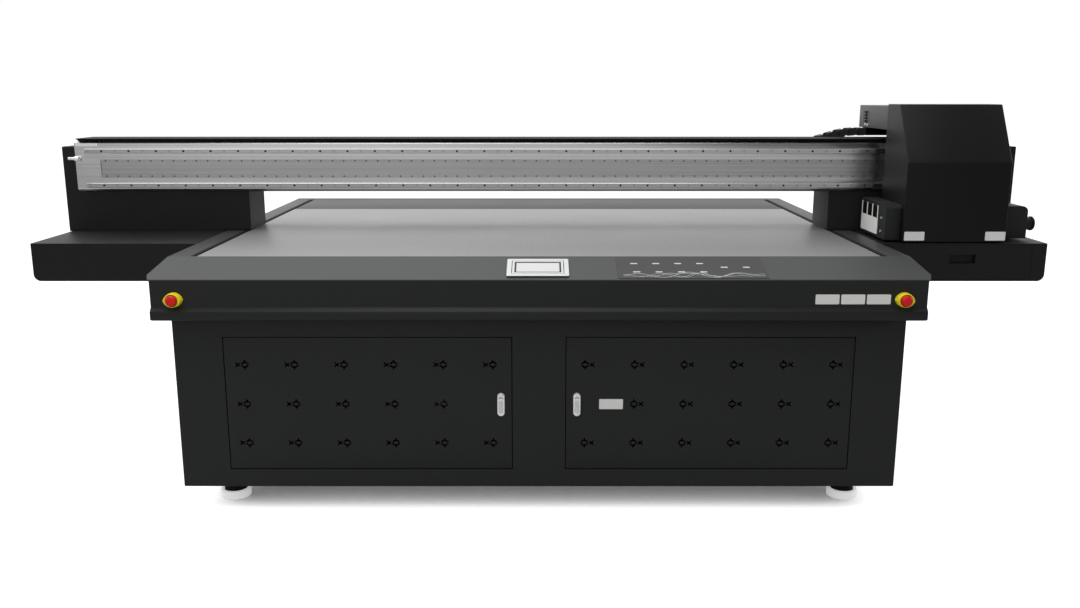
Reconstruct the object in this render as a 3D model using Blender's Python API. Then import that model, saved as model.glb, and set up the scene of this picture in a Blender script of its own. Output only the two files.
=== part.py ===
"""Flatbed UV printer with a moving gantry, built as separate sub-parts.

Frame: metres, +Z up, origin on the floor under the middle of the machine. The front,
with the console and the doors, faces -Y. The gantry stands as it is when the machine
is parked, with its carriage at the right.
"""

import math

import bmesh
import bpy
from mathutils import Matrix, Vector

# ---------------------------------------------------------------- driving dimensions
TOUCH = 0.0003  # gap between two pieces that touch
SLIDE = 0.0005  # clearance of a bearing on its rail
SHEET = 0.003  # thickness of the folded covers
SEAM = 0.003  # gap round a door, and between covers that don't touch

# Table
MACHINE_DEPTH = 2.352  # front of the stop buttons to the back of the rear apron
BED_TOP = 0.968
BED_WIDTH = 2.590
BED_DEPTH = 1.545
BED_PLATE = 0.015
PLENUM_HEIGHT = 0.065
PLENUM_WALL = 0.010
PLENUM_FLOOR = 0.004
PORT_RADIUS = 0.040
SLOT = 0.010  # the gantry's carrier plates pass down these two slots
BAND_WIDTH = 0.0966
TABLE_BOTTOM = 0.767
CONSOLE_RUN = 0.207
CONSOLE_DROP = 0.051
CONSOLE_PLATE = 0.004
CONSOLE_FLARE = 0.020  # console widest past the table's side
CONSOLE_CORNER = 0.040  # widest point behind the apron face
CONSOLE_TIP = 0.004  # console's front corner past the table's side
CHAMFER_TOP = 0.816  # where the apron starts to step forward
CHAMFER = 0.014
REAR_MARGIN = 0.097
REAR_ROUND = 0.020

# Cabinet and frame
FOOT_HEIGHT = 0.1065
FOOT_INSET = 0.177  # from the cabinet's face to the foot's middle
CABINET_SET_BACK = 0.051  # cabinet front behind the apron face
CABINET_REAR_INSET = 0.091
CABINET_INSET = 0.0516  # cabinet side inside the table's side
TUBE = 0.060
SIDE_BEAM_WIDTH = 0.088
SIDE_BEAM_INSET = 0.003  # side beam outside the slot's outer edge
RAIL_SEAT = 0.850  # height of the top of the side beams
CROSS_TUBES = 5

# Doors
DOOR_INNER = 0.101
DOOR_MARGIN = 0.184  # from the door's hinge edge to the cabinet's side
DOOR_BOTTOM = 0.179
DOOR_TOP = 0.690
DOOR_SHEET = 0.002
DOOR_DEPTH = 0.020
VENT_FIRST = 0.080  # from the door's inner edge to the first vent's middle
VENT_PITCH_X = 0.1838
VENT_PITCH_Z = 0.1525
VENT_LENGTH = 0.052
VENT_HEIGHT = 0.034
VENT_ROWS = 3
HANDLE_INSET = 0.0405
HANDLE_LENGTH = 0.089
HANDLE_WIDTH = 0.028
HANDLE_PROUD = 0.012
HANDLE_SHAFT = 0.006
CAM_LENGTH = 0.030
CAM_PLATE = 0.004

# Controls
ESTOP_INSET = 0.087
ESTOP_HEIGHT = 0.8445
ESTOP_PROUD = 0.040
ESTOP_CAP_RADIUS = 0.020
ESTOP_STEM_RADIUS = 0.011
ESTOP_TRAVEL = 0.005
GUARD_LENGTH = 0.067
GUARD_HEIGHT = 0.053
GUARD_DEPTH = 0.028
SCREEN_CENTRE = (-0.004, -0.0105)  # from the slope's middle, across and up the slope
SCREEN_WIDTH = 0.227
SCREEN_HEIGHT = 0.152
SCREEN_PROUD = 0.008
SCREEN_BODY_DEPTH = 0.030
SCREEN_LEDGE = 0.020  # how far the bezel reaches past its body
GLASS_WIDTH = 0.160
GLASS_HEIGHT = 0.088
GLASS_SINK = 0.002
KEYS_CENTRE = (0.559, 0.0)
KEYS_WIDTH = 0.544
KEYS_HEIGHT = 0.196
KEYS_PLATE = 0.0015

# Y guides
RAIL_WIDTH = 0.025
RAIL_HEIGHT = 0.024
TRUCK_WIDTH = 0.060
TRUCK_TOP = 0.021
Y_TRUCK_LENGTH = 0.300
MAGNET_WIDTH = 0.012
MAGNET_HEIGHT = 0.008
COIL_GAP = 0.002

# Gantry
BEAM_SET_BACK = 0.704  # beam's front face behind the bed's front edge, parked
BEAM_GAP = 0.175  # bed to beam
BEAM_HEIGHT = 0.224
BEAM_DEPTH = 0.185
BEAM_WALL = 0.015
BEAM_CHAMFER = 0.012
X_RAIL_WIDTH = 0.020
X_RAIL_PROUD = 0.015
X_RAIL_INSET = 0.036  # rail edge from the beam's top edge
X_RAIL_LOW_INSET = 0.018
X_RAIL_END = 0.048
CHANNEL_DEPTH = 0.012
CHANNEL_HEIGHT = 0.080
CHANNEL_SHIFT = -0.0105  # channel's middle from the beam's middle
CHANNEL_END = 0.110
MAGNET_BACKING = 0.010
LEG_DEPTH = 0.150
LEG_WIDTH = 0.300
CARRIER_PLATE = 0.006
FOOT_FLANGE = 0.010
ARM_HEIGHT = 0.035
SHIELD_SET_BACK = 0.010  # shield front behind the beam's front face
SHIELD_DEPTH = 0.246
SHIELD_LIFT = 0.004  # shield over the table's top
SHIELD_PAST = 0.009  # end panel outside the wing's end
SHIELD_END_WIDTH = 0.057
SHIELD_END_DROP = 0.027  # end panel's top under the beam's top
WING_GAP = 0.0094
WING_LENGTH = 0.684
WING_FRONT = 0.362  # wing front ahead of the beam's front face
WING_DEPTH = 0.687  # wing's face to its back
WING_TOP_DROP = 0.003
WING_HEIGHT = 0.158
WING_ROUND = 0.030
BUFFER_RADIUS = 0.011
BUFFER_LENGTH = 0.065
BUFFER_DROP = 0.078  # under the beam's top
DRAWER_BORDER = 0.0065
DRAWER_END = 0.061  # from the drawer's outer edge to the wing's end
DRAWER_TRAY = 0.055
DRAWER_LENGTH = 0.540
PULL_WIDTH = 0.106
PULL_HEIGHT = 0.037
PULL_DEPTH = 0.020
PULL_SHIFT = 0.0225  # pull's middle from the drawer's middle
CAP_STATION = (0.280, 0.220)
CAP_LIFT = 0.015
CAP_BODY = 0.070

# Energy chain
CHAIN_HEIGHT = 0.035
CHAIN_WIDTH = 0.060
CHAIN_BEND = 0.0735  # radius at the middle of the chain
CHAIN_FLOOR = 0.033  # tray floor over the beam's bottom
TRAY_CLEAR = 0.005
TRAY_WALL_TOP = 0.005  # tray's back wall over the beam's top
STRIP_HEIGHT = 0.008
TRAY_END = 0.021  # tray's end inside the beam's
STRIP_SLANT = 0.014
CHAIN_RISE = 0.053
CHAIN_RISE_RUN = 0.270
CARRIAGE_TRAVEL = 3.250
CHAIN_FIXED_END = 0.0
CHAIN_LOOP_X = -0.280

# Carriage and head
HOOD_WIDTH = 0.424
HOOD_INSET = 0.085  # hood's left side from the wing's inner end
HOOD_FRONT = 0.360  # hood front ahead of the beam's front face
HOOD_LIFT = 0.004  # hood's lower edge over the bed
HOOD_SLOPE_DROP = 0.231
HOOD_RISE = 0.158  # hood's top over the beam's top
HOOD_SLOPE_RUN = 0.140
HOOD_BACK = 0.080  # hood's back ahead of the beam's front face
PLATE_WIDTH = 0.350
CARRIAGE_PLATE = 0.017
X_TRUCK_LENGTH = 0.300
X_TRUCK_WIDTH = 0.044
X_TRUCK_DEPTH = 0.022  # truck in front of the rail
GUIDE_WIDTH = 0.020
GUIDE_DEPTH = 0.0075
HEAD_PLATE = 0.013
HEAD_PLATE_TOP = 1.310
HEAD_BASE = 0.010
HEAD_BASE_LIFT = 0.017
NOZZLE_LIFT = 0.0025
HEAD_BLOCK = (0.260, 0.200)
HEAD_BLOCK_TOP = 1.105
ARM_RISE = 0.049  # arm's underside over the beam's top
ARM_BOX_HEIGHT = 0.100
ARM_BOX_WIDTH = 0.304
ARM_BOX_REACH = 0.300  # arm's back behind the beam's front face
CHAIN_BRACKET = 0.110
LAMP_LIFT = 0.006
LAMP_TOP = 1.122
LAMP_RIGHT_TOP = 1.110
LAMP_ROUND = 0.025
LAMP_LEFT_WIDTH = 0.065
LAMP_LEFT_SET_BACK = 0.030
LAMP_RIGHT_WIDTH = 0.122
LAMP_RIGHT_SET_BACK = 0.080
LAMP_BACK = 0.023  # lamp's back ahead of the beam's front face
PORT_LENGTH = 0.050
LAMP_PORT_RADIUS = 0.027

# Inside the cabinet
BLOWER_RADIUS = 0.150
BLOWER_WIDTH = 0.180
ELECTRICS = (0.700, 0.400, 0.460)

# ---------------------------------------------------------------- derived places
FRONT = -MACHINE_DEPTH / 2
REAR = MACHINE_DEPTH / 2
APRON_FACE = FRONT + ESTOP_PROUD
BED_FRONT = APRON_FACE + CONSOLE_RUN
BED_BACK = BED_FRONT + BED_DEPTH
DECK_BACK = REAR - REAR_MARGIN
CABINET_FRONT = APRON_FACE + CABINET_SET_BACK
CABINET_BACK = REAR - CABINET_REAR_INSET
BED_EDGE = BED_WIDTH / 2
BAND_INNER = BED_EDGE + SLOT
TABLE_EDGE = BAND_INNER + BAND_WIDTH
SLOT_MIDDLE = BED_EDGE + SLOT / 2
CABINET_EDGE = TABLE_EDGE - CABINET_INSET
CABINET_TOP = TABLE_BOTTOM + SHEET - TOUCH
DOOR_OUTER = CABINET_EDGE - DOOR_MARGIN
PLENUM_TOP = BED_TOP - BED_PLATE - TOUCH
PLENUM_BOTTOM = PLENUM_TOP - PLENUM_HEIGHT
CONSOLE_LOW = BED_TOP - CONSOLE_DROP
CONSOLE_ANGLE = math.atan2(CONSOLE_DROP, CONSOLE_RUN)
RAIL_X = BAND_INNER + SIDE_BEAM_INSET + SIDE_BEAM_WIDTH / 2 - 0.002
RAIL_TOP = RAIL_SEAT + RAIL_HEIGHT
Y_TRUCK_TOP = RAIL_TOP + SLIDE + TRUCK_TOP
RAIL_FRONT = BED_FRONT + 0.014
RAIL_BACK = DECK_BACK - 0.024
BEAM_FRONT = BED_FRONT + BEAM_SET_BACK
BEAM_BACK = BEAM_FRONT + BEAM_DEPTH
BEAM_BOTTOM = BED_TOP + BEAM_GAP
BEAM_TOP = BEAM_BOTTOM + BEAM_HEIGHT
ARM_BOTTOM = BEAM_TOP + ARM_RISE
HOOD_TOP = BEAM_TOP + HOOD_RISE
HOOD_CREASE = HOOD_TOP - HOOD_SLOPE_DROP
SHIELD_END_TOP = BEAM_TOP - SHIELD_END_DROP
LEG_BACK = BEAM_BACK + 0.050
LEG_FRONT = LEG_BACK - LEG_DEPTH
WING_INNER = TABLE_EDGE + WING_GAP
WING_OUTER = WING_INNER + WING_LENGTH
WING_TOP = BED_TOP - WING_TOP_DROP
WING_BOTTOM = WING_TOP - WING_HEIGHT
WING_FACE = BEAM_FRONT - WING_FRONT
WING_BACK = WING_FACE + WING_DEPTH
SHIELD_OUTER = WING_OUTER + SHIELD_PAST
SHIELD_FRONT = BEAM_FRONT + SHIELD_SET_BACK
SHIELD_BACK = SHIELD_FRONT + SHIELD_DEPTH
BEAM_END = SHIELD_OUTER - SHIELD_END_WIDTH - SEAM - TOUCH
CHANNEL_MIDDLE = (BEAM_BOTTOM + BEAM_TOP) / 2 + CHANNEL_SHIFT
HOOD_LEFT = WING_INNER + HOOD_INSET
HOOD_RIGHT = HOOD_LEFT + HOOD_WIDTH
HOOD_MIDDLE = (HOOD_LEFT + HOOD_RIGHT) / 2
HOOD_BOTTOM = BED_TOP + HOOD_LIFT
HOOD_FACE = BEAM_FRONT - HOOD_FRONT
HOOD_REAR = BEAM_FRONT - HOOD_BACK
RAIL_FACE = BEAM_FRONT - X_RAIL_PROUD
TRUCK_FACE = RAIL_FACE - X_TRUCK_DEPTH
PLATE_FRONT = TRUCK_FACE - TOUCH - CARRIAGE_PLATE
HEAD_PLATE_BACK = PLATE_FRONT - GUIDE_DEPTH - SLIDE
HEAD_BASE_BOTTOM = BED_TOP + HEAD_BASE_LIFT
NOZZLES = BED_TOP + NOZZLE_LIFT
TRAY_FLOOR = BEAM_BOTTOM + CHAIN_FLOOR
TRAY_FRONT = BEAM_BACK + TOUCH
CHAIN_FRONT = TRAY_FRONT + SHEET + TRAY_CLEAR
CHAIN_BACK = CHAIN_FRONT + CHAIN_WIDTH
TRAY_BACK = CHAIN_BACK + TRAY_CLEAR + SHEET
CHAIN_BASE = TRAY_FLOOR + 0.004
LOOP_CENTRE_Z = CHAIN_BASE + CHAIN_HEIGHT / 2 + CHAIN_BEND
CHAIN_UPPER = CHAIN_BASE + 2 * CHAIN_BEND
DRAWER_INNER = WING_INNER + SHEET + DRAWER_BORDER
DRAWER_OUTER = WING_OUTER - DRAWER_END

ROUND = 32
FINE = 24


# ---------------------------------------------------------------- modelling helpers
def clear_scene():
    for obj in list(bpy.data.objects):
        bpy.data.objects.remove(obj, do_unlink=True)


def paint(name, colour, roughness, metallic=0.0):
    material = bpy.data.materials.new(name)
    material.use_nodes = True
    shader = material.node_tree.nodes["Principled BSDF"]
    shader.inputs["Base Color"].default_value = (*colour, 1.0)
    shader.inputs["Roughness"].default_value = roughness
    shader.inputs["Metallic"].default_value = metallic
    material.diffuse_color = (*colour, 1.0)
    return material


FINISHES = {
    "black": ((0.016, 0.017, 0.017), 0.45, 0.0),
    "grey": ((0.130, 0.133, 0.135), 0.50, 0.0),
    "bed": ((0.330, 0.330, 0.330), 0.45, 0.6),
    "alloy": ((0.400, 0.400, 0.400), 0.35, 0.9),
    "steel": ((0.450, 0.450, 0.450), 0.30, 1.0),
    "dark_steel": ((0.080, 0.080, 0.080), 0.40, 0.8),
    "silver": ((0.750, 0.750, 0.750), 0.30, 0.5),
    "plastic": ((0.020, 0.020, 0.020), 0.60, 0.0),
    "red": ((0.600, 0.020, 0.020), 0.35, 0.0),
    "yellow": ((0.800, 0.600, 0.020), 0.40, 0.0),
    "white": ((0.750, 0.750, 0.740), 0.50, 0.0),
    "glass": ((0.600, 0.620, 0.640), 0.15, 0.0),
}


def finish(obj, kind, smooth=False):
    """Give the piece its own material, and smooth shading where it is round."""
    obj.data.materials.clear()
    obj.data.materials.append(paint(f"{obj.name}_finish", *FINISHES[kind]))
    if smooth:
        obj.data.shade_smooth()
        obj.data.set_sharp_from_angle(angle=math.radians(35))
    return obj


def new_object(name, bm):
    bmesh.ops.recalc_face_normals(bm, faces=bm.faces[:])
    mesh = bpy.data.meshes.new(name)
    bm.to_mesh(mesh)
    bm.free()
    obj = bpy.data.objects.new(name, mesh)
    bpy.context.scene.collection.objects.link(obj)
    return obj


def add_box(bm, x, y, z):
    """Add a box to a bmesh, from three (low, high) pairs."""
    size = Vector((x[1] - x[0], y[1] - y[0], z[1] - z[0]))
    middle = Vector((x[0] + x[1], y[0] + y[1], z[0] + z[1])) / 2
    matrix = Matrix.Translation(middle) @ Matrix.Diagonal(size).to_4x4()
    bmesh.ops.create_cube(bm, size=1.0, matrix=matrix)


def box(name, x, y, z):
    bm = bmesh.new()
    add_box(bm, x, y, z)
    return new_object(name, bm)


AXES = {
    "x": lambda a, b, along: Vector((along, a, b)),  # outline in (y, z)
    "y": lambda a, b, along: Vector((a, along, b)),  # outline in (x, z)
    "z": lambda a, b, along: Vector((a, b, along)),  # outline in (x, y)
}


def add_prism(bm, outline, axis, low, high):
    point = AXES[axis]
    first = [bm.verts.new(point(a, b, low)) for a, b in outline]
    last = [bm.verts.new(point(a, b, high)) for a, b in outline]
    bm.faces.new(first)
    bm.faces.new(reversed(last))
    for index in range(len(outline)):
        after = (index + 1) % len(outline)
        bm.faces.new((first[after], first[index], last[index], last[after]))


def prism(name, outline, axis, low, high):
    """Extrude a closed outline along an axis."""
    bm = bmesh.new()
    add_prism(bm, outline, axis, low, high)
    return new_object(name, bm)


def turned(name, profile, place, turn=None, segments=ROUND, ring=False):
    """Turn a (radius, height) profile round its own Z, then turn and place it."""
    bm = bmesh.new()
    turn = turn or Matrix.Identity(4)
    matrix = Matrix.Translation(place) @ turn
    rows = []
    for radius, height in profile:
        if radius == 0:
            rows.append([bm.verts.new(matrix @ Vector((0, 0, height)))])
            continue
        row = []
        for step in range(segments):
            angle = 2 * math.pi * step / segments
            spot = Vector((radius * math.cos(angle), radius * math.sin(angle), height))
            row.append(bm.verts.new(matrix @ spot))
        rows.append(row)
    pairs = list(zip(rows, rows[1:]))
    if ring:
        pairs.append((rows[-1], rows[0]))
    for one, two in pairs:
        for step in range(segments):
            after = (step + 1) % segments
            if len(one) == 1:
                bm.faces.new((one[0], two[step], two[after]))
            elif len(two) == 1:
                bm.faces.new((one[after], one[step], two[0]))
            else:
                bm.faces.new((one[after], one[step], two[step], two[after]))
    return new_object(name, bm)


def rod(name, radius, length, place, turn=None, segments=FINE):
    return turned(name, [(0, 0), (radius, 0), (radius, length), (0, length)], place, turn, segments)


FORWARD = Matrix.Rotation(math.radians(90), 4, "X")  # local Z to -Y
SIDEWAYS = Matrix.Rotation(math.radians(90), 4, "Y")  # local Z to +X


def hide_tool(tool, target):
    tool.hide_render = True
    tool.display_type = "WIRE"
    tool.parent = target
    return tool


def cut(target, *tools):
    """Take each tool's shape out of the target."""
    return combine(target, tools, "DIFFERENCE")


def weld(target, *tools):
    """Join each tool's shape to the target as one body."""
    return combine(target, tools, "UNION")


def combine(target, tools, operation):
    for tool in tools:
        step = target.modifiers.new(tool.name, "BOOLEAN")
        step.operation = operation
        step.solver = "EXACT"
        step.object = hide_tool(tool, target)
    return target


def arc(centre, radius, start, end, steps):
    """Points of an arc, in degrees, both ends included."""
    points = []
    for step in range(steps + 1):
        angle = math.radians(start + (end - start) * step / steps)
        points.append((centre[0] + radius * math.cos(angle), centre[1] + radius * math.sin(angle)))
    return points


def mirrored(outline, side):
    """Flip an (x, z) or (x, y) outline to the left for side -1."""
    return [(side * a, b) for a, b in outline]


def span(side, low, high):
    """A (low, high) pair on the right side, or its mirror on the left."""
    return (low, high) if side > 0 else (-high, -low)


def group(name, place, parent=None):
    """An empty that carries what moves together, on its joint's axis."""
    empty = bpy.data.objects.new(name, None)
    empty.empty_display_size = 0.1
    bpy.context.scene.collection.objects.link(empty)
    empty.location = place
    if parent:
        empty.parent = parent
        empty.location = Vector(place) - world_place(parent)
    return empty


def world_place(empty):
    place = empty.location.copy()
    while empty.parent:
        empty = empty.parent
        place += empty.location
    return place


def attach(parent, *pieces):
    """Parent pieces to a group and leave them where they are."""
    for piece in pieces:
        piece.parent = parent
        piece.matrix_parent_inverse = Matrix.Translation(-world_place(parent))


SIDES = {"left": -1, "right": 1}


# ---------------------------------------------------------------- frame and cabinet
def machine_frame():
    """Welded tube frame: cabinet uprights, rails, and the table's beams."""
    inner_x = CABINET_EDGE - SHEET - TOUCH
    front = CABINET_FRONT + SHEET + TOUCH
    back = CABINET_BACK - SHEET - TOUCH
    floor = FOOT_HEIGHT + SHEET + TOUCH
    head = TABLE_BOTTOM + 0.040
    beam_low = CABINET_TOP + 0.0015
    frame = box("machine_frame", (-inner_x, inner_x), (front, front + TUBE), (floor, floor + TUBE))
    tools = []

    def member(x, y, z):
        tools.append(box(f"frame_member_{len(tools)}", x, y, z))

    member((-inner_x, inner_x), (back - TUBE, back), (floor, floor + TUBE))
    for end in ((front, front + TUBE), (back - TUBE, back)):
        member((-inner_x, inner_x), end, (head - TUBE, head - 0.001))
    for middle in (-inner_x + TUBE / 2, 0.0, inner_x - TUBE / 2):
        side = (middle - TUBE / 2 + 0.001, middle + TUBE / 2 - 0.001)
        member(side, (front + 0.001, back - 0.001), (floor + 0.001, floor + TUBE - 0.001))
        for end in ((front + 0.002, front + TUBE - 0.001), (back - TUBE + 0.001, back - 0.002)):
            member(side, end, (floor + 0.002, head - 0.002))
        member(side, (front + 0.003, back - 0.003), (head - TUBE + 0.002, head - 0.003))
    for side in SIDES.values():
        beam = span(side, BAND_INNER + SIDE_BEAM_INSET, BAND_INNER + SIDE_BEAM_INSET + SIDE_BEAM_WIDTH)
        member(beam, (RAIL_FRONT - 0.005, RAIL_BACK + 0.005), (beam_low, RAIL_SEAT - TOUCH))
    reach = BAND_INNER + SIDE_BEAM_INSET + 0.007
    first = BED_FRONT + 0.060
    last = DECK_BACK - 0.060
    for index in range(CROSS_TUBES):
        middle = first + (last - first) * index / (CROSS_TUBES - 1)
        across = (middle - TUBE / 2, middle + TUBE / 2)
        member((-reach, reach), across, (head - 0.012, PLENUM_BOTTOM - TOUCH))
    weld(frame, *tools)
    return finish(frame, "dark_steel")


def cabinet_shell():
    """Folded cabinet, open at the top, with two doorways and rear louvres."""
    shell = box(
        "cabinet_shell",
        (-CABINET_EDGE, CABINET_EDGE),
        (CABINET_FRONT, CABINET_BACK),
        (FOOT_HEIGHT, CABINET_TOP),
    )
    room = box(
        "cabinet_room",
        (-CABINET_EDGE + SHEET, CABINET_EDGE - SHEET),
        (CABINET_FRONT + SHEET, CABINET_BACK - SHEET),
        (FOOT_HEIGHT + SHEET, CABINET_TOP + 0.1),
    )
    doorways = bmesh.new()
    for side in SIDES.values():
        add_box(
            doorways,
            span(side, DOOR_INNER - SEAM, DOOR_OUTER + SEAM),
            (CABINET_FRONT - 0.010, CABINET_FRONT + 0.010),
            (DOOR_BOTTOM - SEAM, DOOR_TOP + SEAM),
        )
    louvres = bmesh.new()
    for side in SIDES.values():
        for row in range(6):
            low = 0.400 + row * 0.030
            wide = span(side, CABINET_EDGE * 0.35, CABINET_EDGE * 0.65)
            add_box(louvres, wide, (CABINET_BACK - 0.010, CABINET_BACK + 0.010), (low, low + 0.010))
    cut(shell, room, new_object("doorways", doorways), new_object("louvres", louvres))
    return finish(shell, "black")


def vent_outline(x, z, side):
    """An arrow that points to the middle of the cabinet."""
    half = VENT_LENGTH / 2
    tall = VENT_HEIGHT / 2
    shaft = VENT_HEIGHT / 6
    points = [
        (-half, 0),
        (0, -tall),
        (0, -shaft),
        (half, -shaft),
        (half, shaft),
        (0, shaft),
        (0, tall),
    ]
    return [(side * a + x, b + z) for a, b in points]


def door(word):
    side = SIDES[word]
    middle = (DOOR_BOTTOM + DOOR_TOP) / 2
    leaf = box(
        f"door_{word}",
        span(side, DOOR_INNER, DOOR_OUTER),
        (CABINET_FRONT, CABINET_FRONT + DOOR_DEPTH),
        (DOOR_BOTTOM, DOOR_TOP),
    )
    hollow = box(
        f"door_hollow_{word}",
        span(side, DOOR_INNER + DOOR_SHEET, DOOR_OUTER - DOOR_SHEET),
        (CABINET_FRONT + DOOR_SHEET, CABINET_FRONT + DOOR_DEPTH + 0.010),
        (DOOR_BOTTOM + DOOR_SHEET, DOOR_TOP - DOOR_SHEET),
    )
    vents = bmesh.new()
    columns = int((DOOR_OUTER - DOOR_INNER - VENT_FIRST - VENT_LENGTH) / VENT_PITCH_X) + 1
    for row in range(VENT_ROWS):
        for column in range(columns):
            if row == VENT_ROWS // 2 and column == 0:
                continue  # the handle is here
            x = side * (DOOR_INNER + VENT_FIRST + column * VENT_PITCH_X)
            z = middle + (row - VENT_ROWS // 2) * VENT_PITCH_Z
            outline = vent_outline(x, z, side)
            add_prism(vents, outline, "y", CABINET_FRONT - 0.005, CABINET_FRONT + 0.006)
    spot = (side * (DOOR_INNER + HANDLE_INSET), CABINET_FRONT + 0.010, middle)
    bore = rod(f"handle_bore_{word}", HANDLE_SHAFT + SLIDE, 0.030, spot, FORWARD)
    cut(leaf, hollow, new_object(f"vents_{word}", vents), bore)
    return finish(leaf, "black")


def handle_place(word):
    side = SIDES[word]
    middle = (DOOR_BOTTOM + DOOR_TOP) / 2
    return Vector((side * (DOOR_INNER + HANDLE_INSET), CABINET_FRONT, middle))


def handle(word):
    """Pill-shaped quarter-turn handle, its shaft and its cam."""
    spot = handle_place(word)
    end = HANDLE_LENGTH / 2 - HANDLE_WIDTH / 2
    outline = arc((spot.x, spot.z + end), HANDLE_WIDTH / 2, 0, 180, 8)
    outline += arc((spot.x, spot.z - end), HANDLE_WIDTH / 2, 180, 360, 8)
    face = spot.y - TOUCH
    pill = prism(f"handle_{word}", outline, "y", face - HANDLE_PROUD, face)
    reach = DOOR_DEPTH + 0.003
    shaft_back = Vector((spot.x, spot.y + reach, spot.z))
    shaft = rod(f"handle_shaft_{word}", HANDLE_SHAFT, reach + 0.004, shaft_back, FORWARD)
    cam = box(
        f"handle_cam_{word}",
        (spot.x - HANDLE_SHAFT, spot.x + HANDLE_SHAFT),
        (spot.y + reach - 0.001, spot.y + reach - 0.001 + CAM_PLATE),
        (spot.z - CAM_LENGTH, spot.z + HANDLE_SHAFT),
    )
    weld(pill, shaft, cam)
    return finish(pill, "silver")


def foot(name, x, y):
    """Levelling foot: pad, cup and stem."""
    profile = [
        (0, 0),
        (0.056, 0),
        (0.058, 0.002),
        (0.058, 0.031),
        (0.056, 0.033),
        (0.040, 0.034),
        (0.040, 0.052),
        (0.034, 0.060),
        (0.012, 0.064),
        (0.012, FOOT_HEIGHT - TOUCH),
        (0, FOOT_HEIGHT - TOUCH),
    ]
    return finish(turned(name, profile, (x, y, 0)), "white", smooth=True)


def feet():
    made = []
    x = CABINET_EDGE - 0.140
    rows = {"front": CABINET_FRONT + FOOT_INSET, "rear": CABINET_BACK - FOOT_INSET}
    for row, y in rows.items():
        for word, side in SIDES.items():
            made.append(foot(f"foot_{row}_{word}", side * x, y))
    return made


def vacuum_blower():
    """Side-channel blower on its base, which draws air through the plenum."""
    floor = FOOT_HEIGHT + SHEET + TOUCH
    middle = -(DOOR_INNER + DOOR_OUTER) / 2
    height = floor + BLOWER_RADIUS + 0.060
    body = box(
        "vacuum_blower",
        (middle - BLOWER_WIDTH, middle + BLOWER_WIDTH),
        (-BLOWER_RADIUS, BLOWER_RADIUS),
        (floor, floor + 0.020),
    )
    stand = box(
        "blower_stand",
        (middle - BLOWER_WIDTH / 2, middle + BLOWER_WIDTH / 2),
        (-BLOWER_RADIUS * 0.6, BLOWER_RADIUS * 0.6),
        (floor + 0.010, height - BLOWER_RADIUS * 0.7),
    )
    drum_place = (middle - BLOWER_WIDTH / 2, 0, height)
    drum = rod("blower_drum", BLOWER_RADIUS, BLOWER_WIDTH, drum_place, SIDEWAYS)
    motor_place = (middle + BLOWER_WIDTH / 2 - 0.010, 0, height)
    motor = rod("blower_motor", BLOWER_RADIUS * 0.6, BLOWER_WIDTH, motor_place, SIDEWAYS)
    pipe_place = (middle, 0, height + BLOWER_RADIUS * 0.8)
    pipe = rod("blower_pipe", PORT_RADIUS, 0.100, pipe_place)
    weld(body, stand, drum, motor, pipe)
    return finish(body, "alloy")


def electrics_box():
    """Steel enclosure with its drives and power supplies, on the cabinet floor."""
    width, depth, height = ELECTRICS
    floor = FOOT_HEIGHT + SHEET + TOUCH
    middle = (DOOR_INNER + DOOR_OUTER) / 2
    case = box(
        "electrics_box",
        (middle - width / 2, middle + width / 2),
        (0.100, 0.100 + depth),
        (floor, floor + height),
    )
    lid_groove = box(
        "electrics_groove",
        (middle - width / 2 + 0.020, middle + width / 2 - 0.020),
        (0.090, 0.104),
        (floor + 0.020, floor + height - 0.020),
    )
    lid = box(
        "electrics_lid",
        (middle - width / 2 + 0.024, middle + width / 2 - 0.024),
        (0.098, 0.110),
        (floor + 0.024, floor + height - 0.024),
    )
    cut(case, lid_groove)
    weld(case, lid)
    return finish(case, "white")


# ---------------------------------------------------------------- table covers
def console_height(y):
    return BED_TOP - CONSOLE_DROP * (BED_FRONT - y) / CONSOLE_RUN


def front_apron():
    """Front cover: upright face, forward step, lip and end cheeks."""
    back = BED_FRONT - TOUCH
    under = CONSOLE_PLATE + TOUCH
    lip = APRON_FACE - CHAMFER
    outline = [
        (back, console_height(back) - under),
        (APRON_FACE, CONSOLE_LOW - under),
        (APRON_FACE, CHAMFER_TOP),
        (lip, CHAMFER_TOP - CHAMFER),
        (lip, TABLE_BOTTOM),
        (back, TABLE_BOTTOM),
    ]
    apron = prism("front_apron", outline, "x", -TABLE_EDGE, TABLE_EDGE)
    inside = [
        (back + 0.050, TABLE_BOTTOM + SHEET),
        (lip + SHEET, TABLE_BOTTOM + SHEET),
        (lip + SHEET, CHAMFER_TOP - CHAMFER - 0.001),
        (APRON_FACE + SHEET, CHAMFER_TOP - 0.001),
        (APRON_FACE + SHEET, BED_TOP + 0.050),
        (back + 0.050, BED_TOP + 0.050),
    ]
    room = prism("apron_room", inside, "x", -TABLE_EDGE + SHEET, TABLE_EDGE - SHEET)
    opening = box(
        "apron_cabinet_opening",
        (-CABINET_EDGE - SEAM, CABINET_EDGE + SEAM),
        (CABINET_FRONT - SEAM, back + 0.050),
        (TABLE_BOTTOM - 0.010, TABLE_BOTTOM + 0.010),
    )
    holes = []
    for word, side in SIDES.items():
        spot = (side * (TABLE_EDGE - ESTOP_INSET), APRON_FACE + 0.020, ESTOP_HEIGHT)
        holes.append(rod(f"estop_hole_{word}", ESTOP_STEM_RADIUS + SLIDE, 0.040, spot, FORWARD))
    cut(apron, room, opening, *holes)
    return finish(apron, "black")


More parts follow.
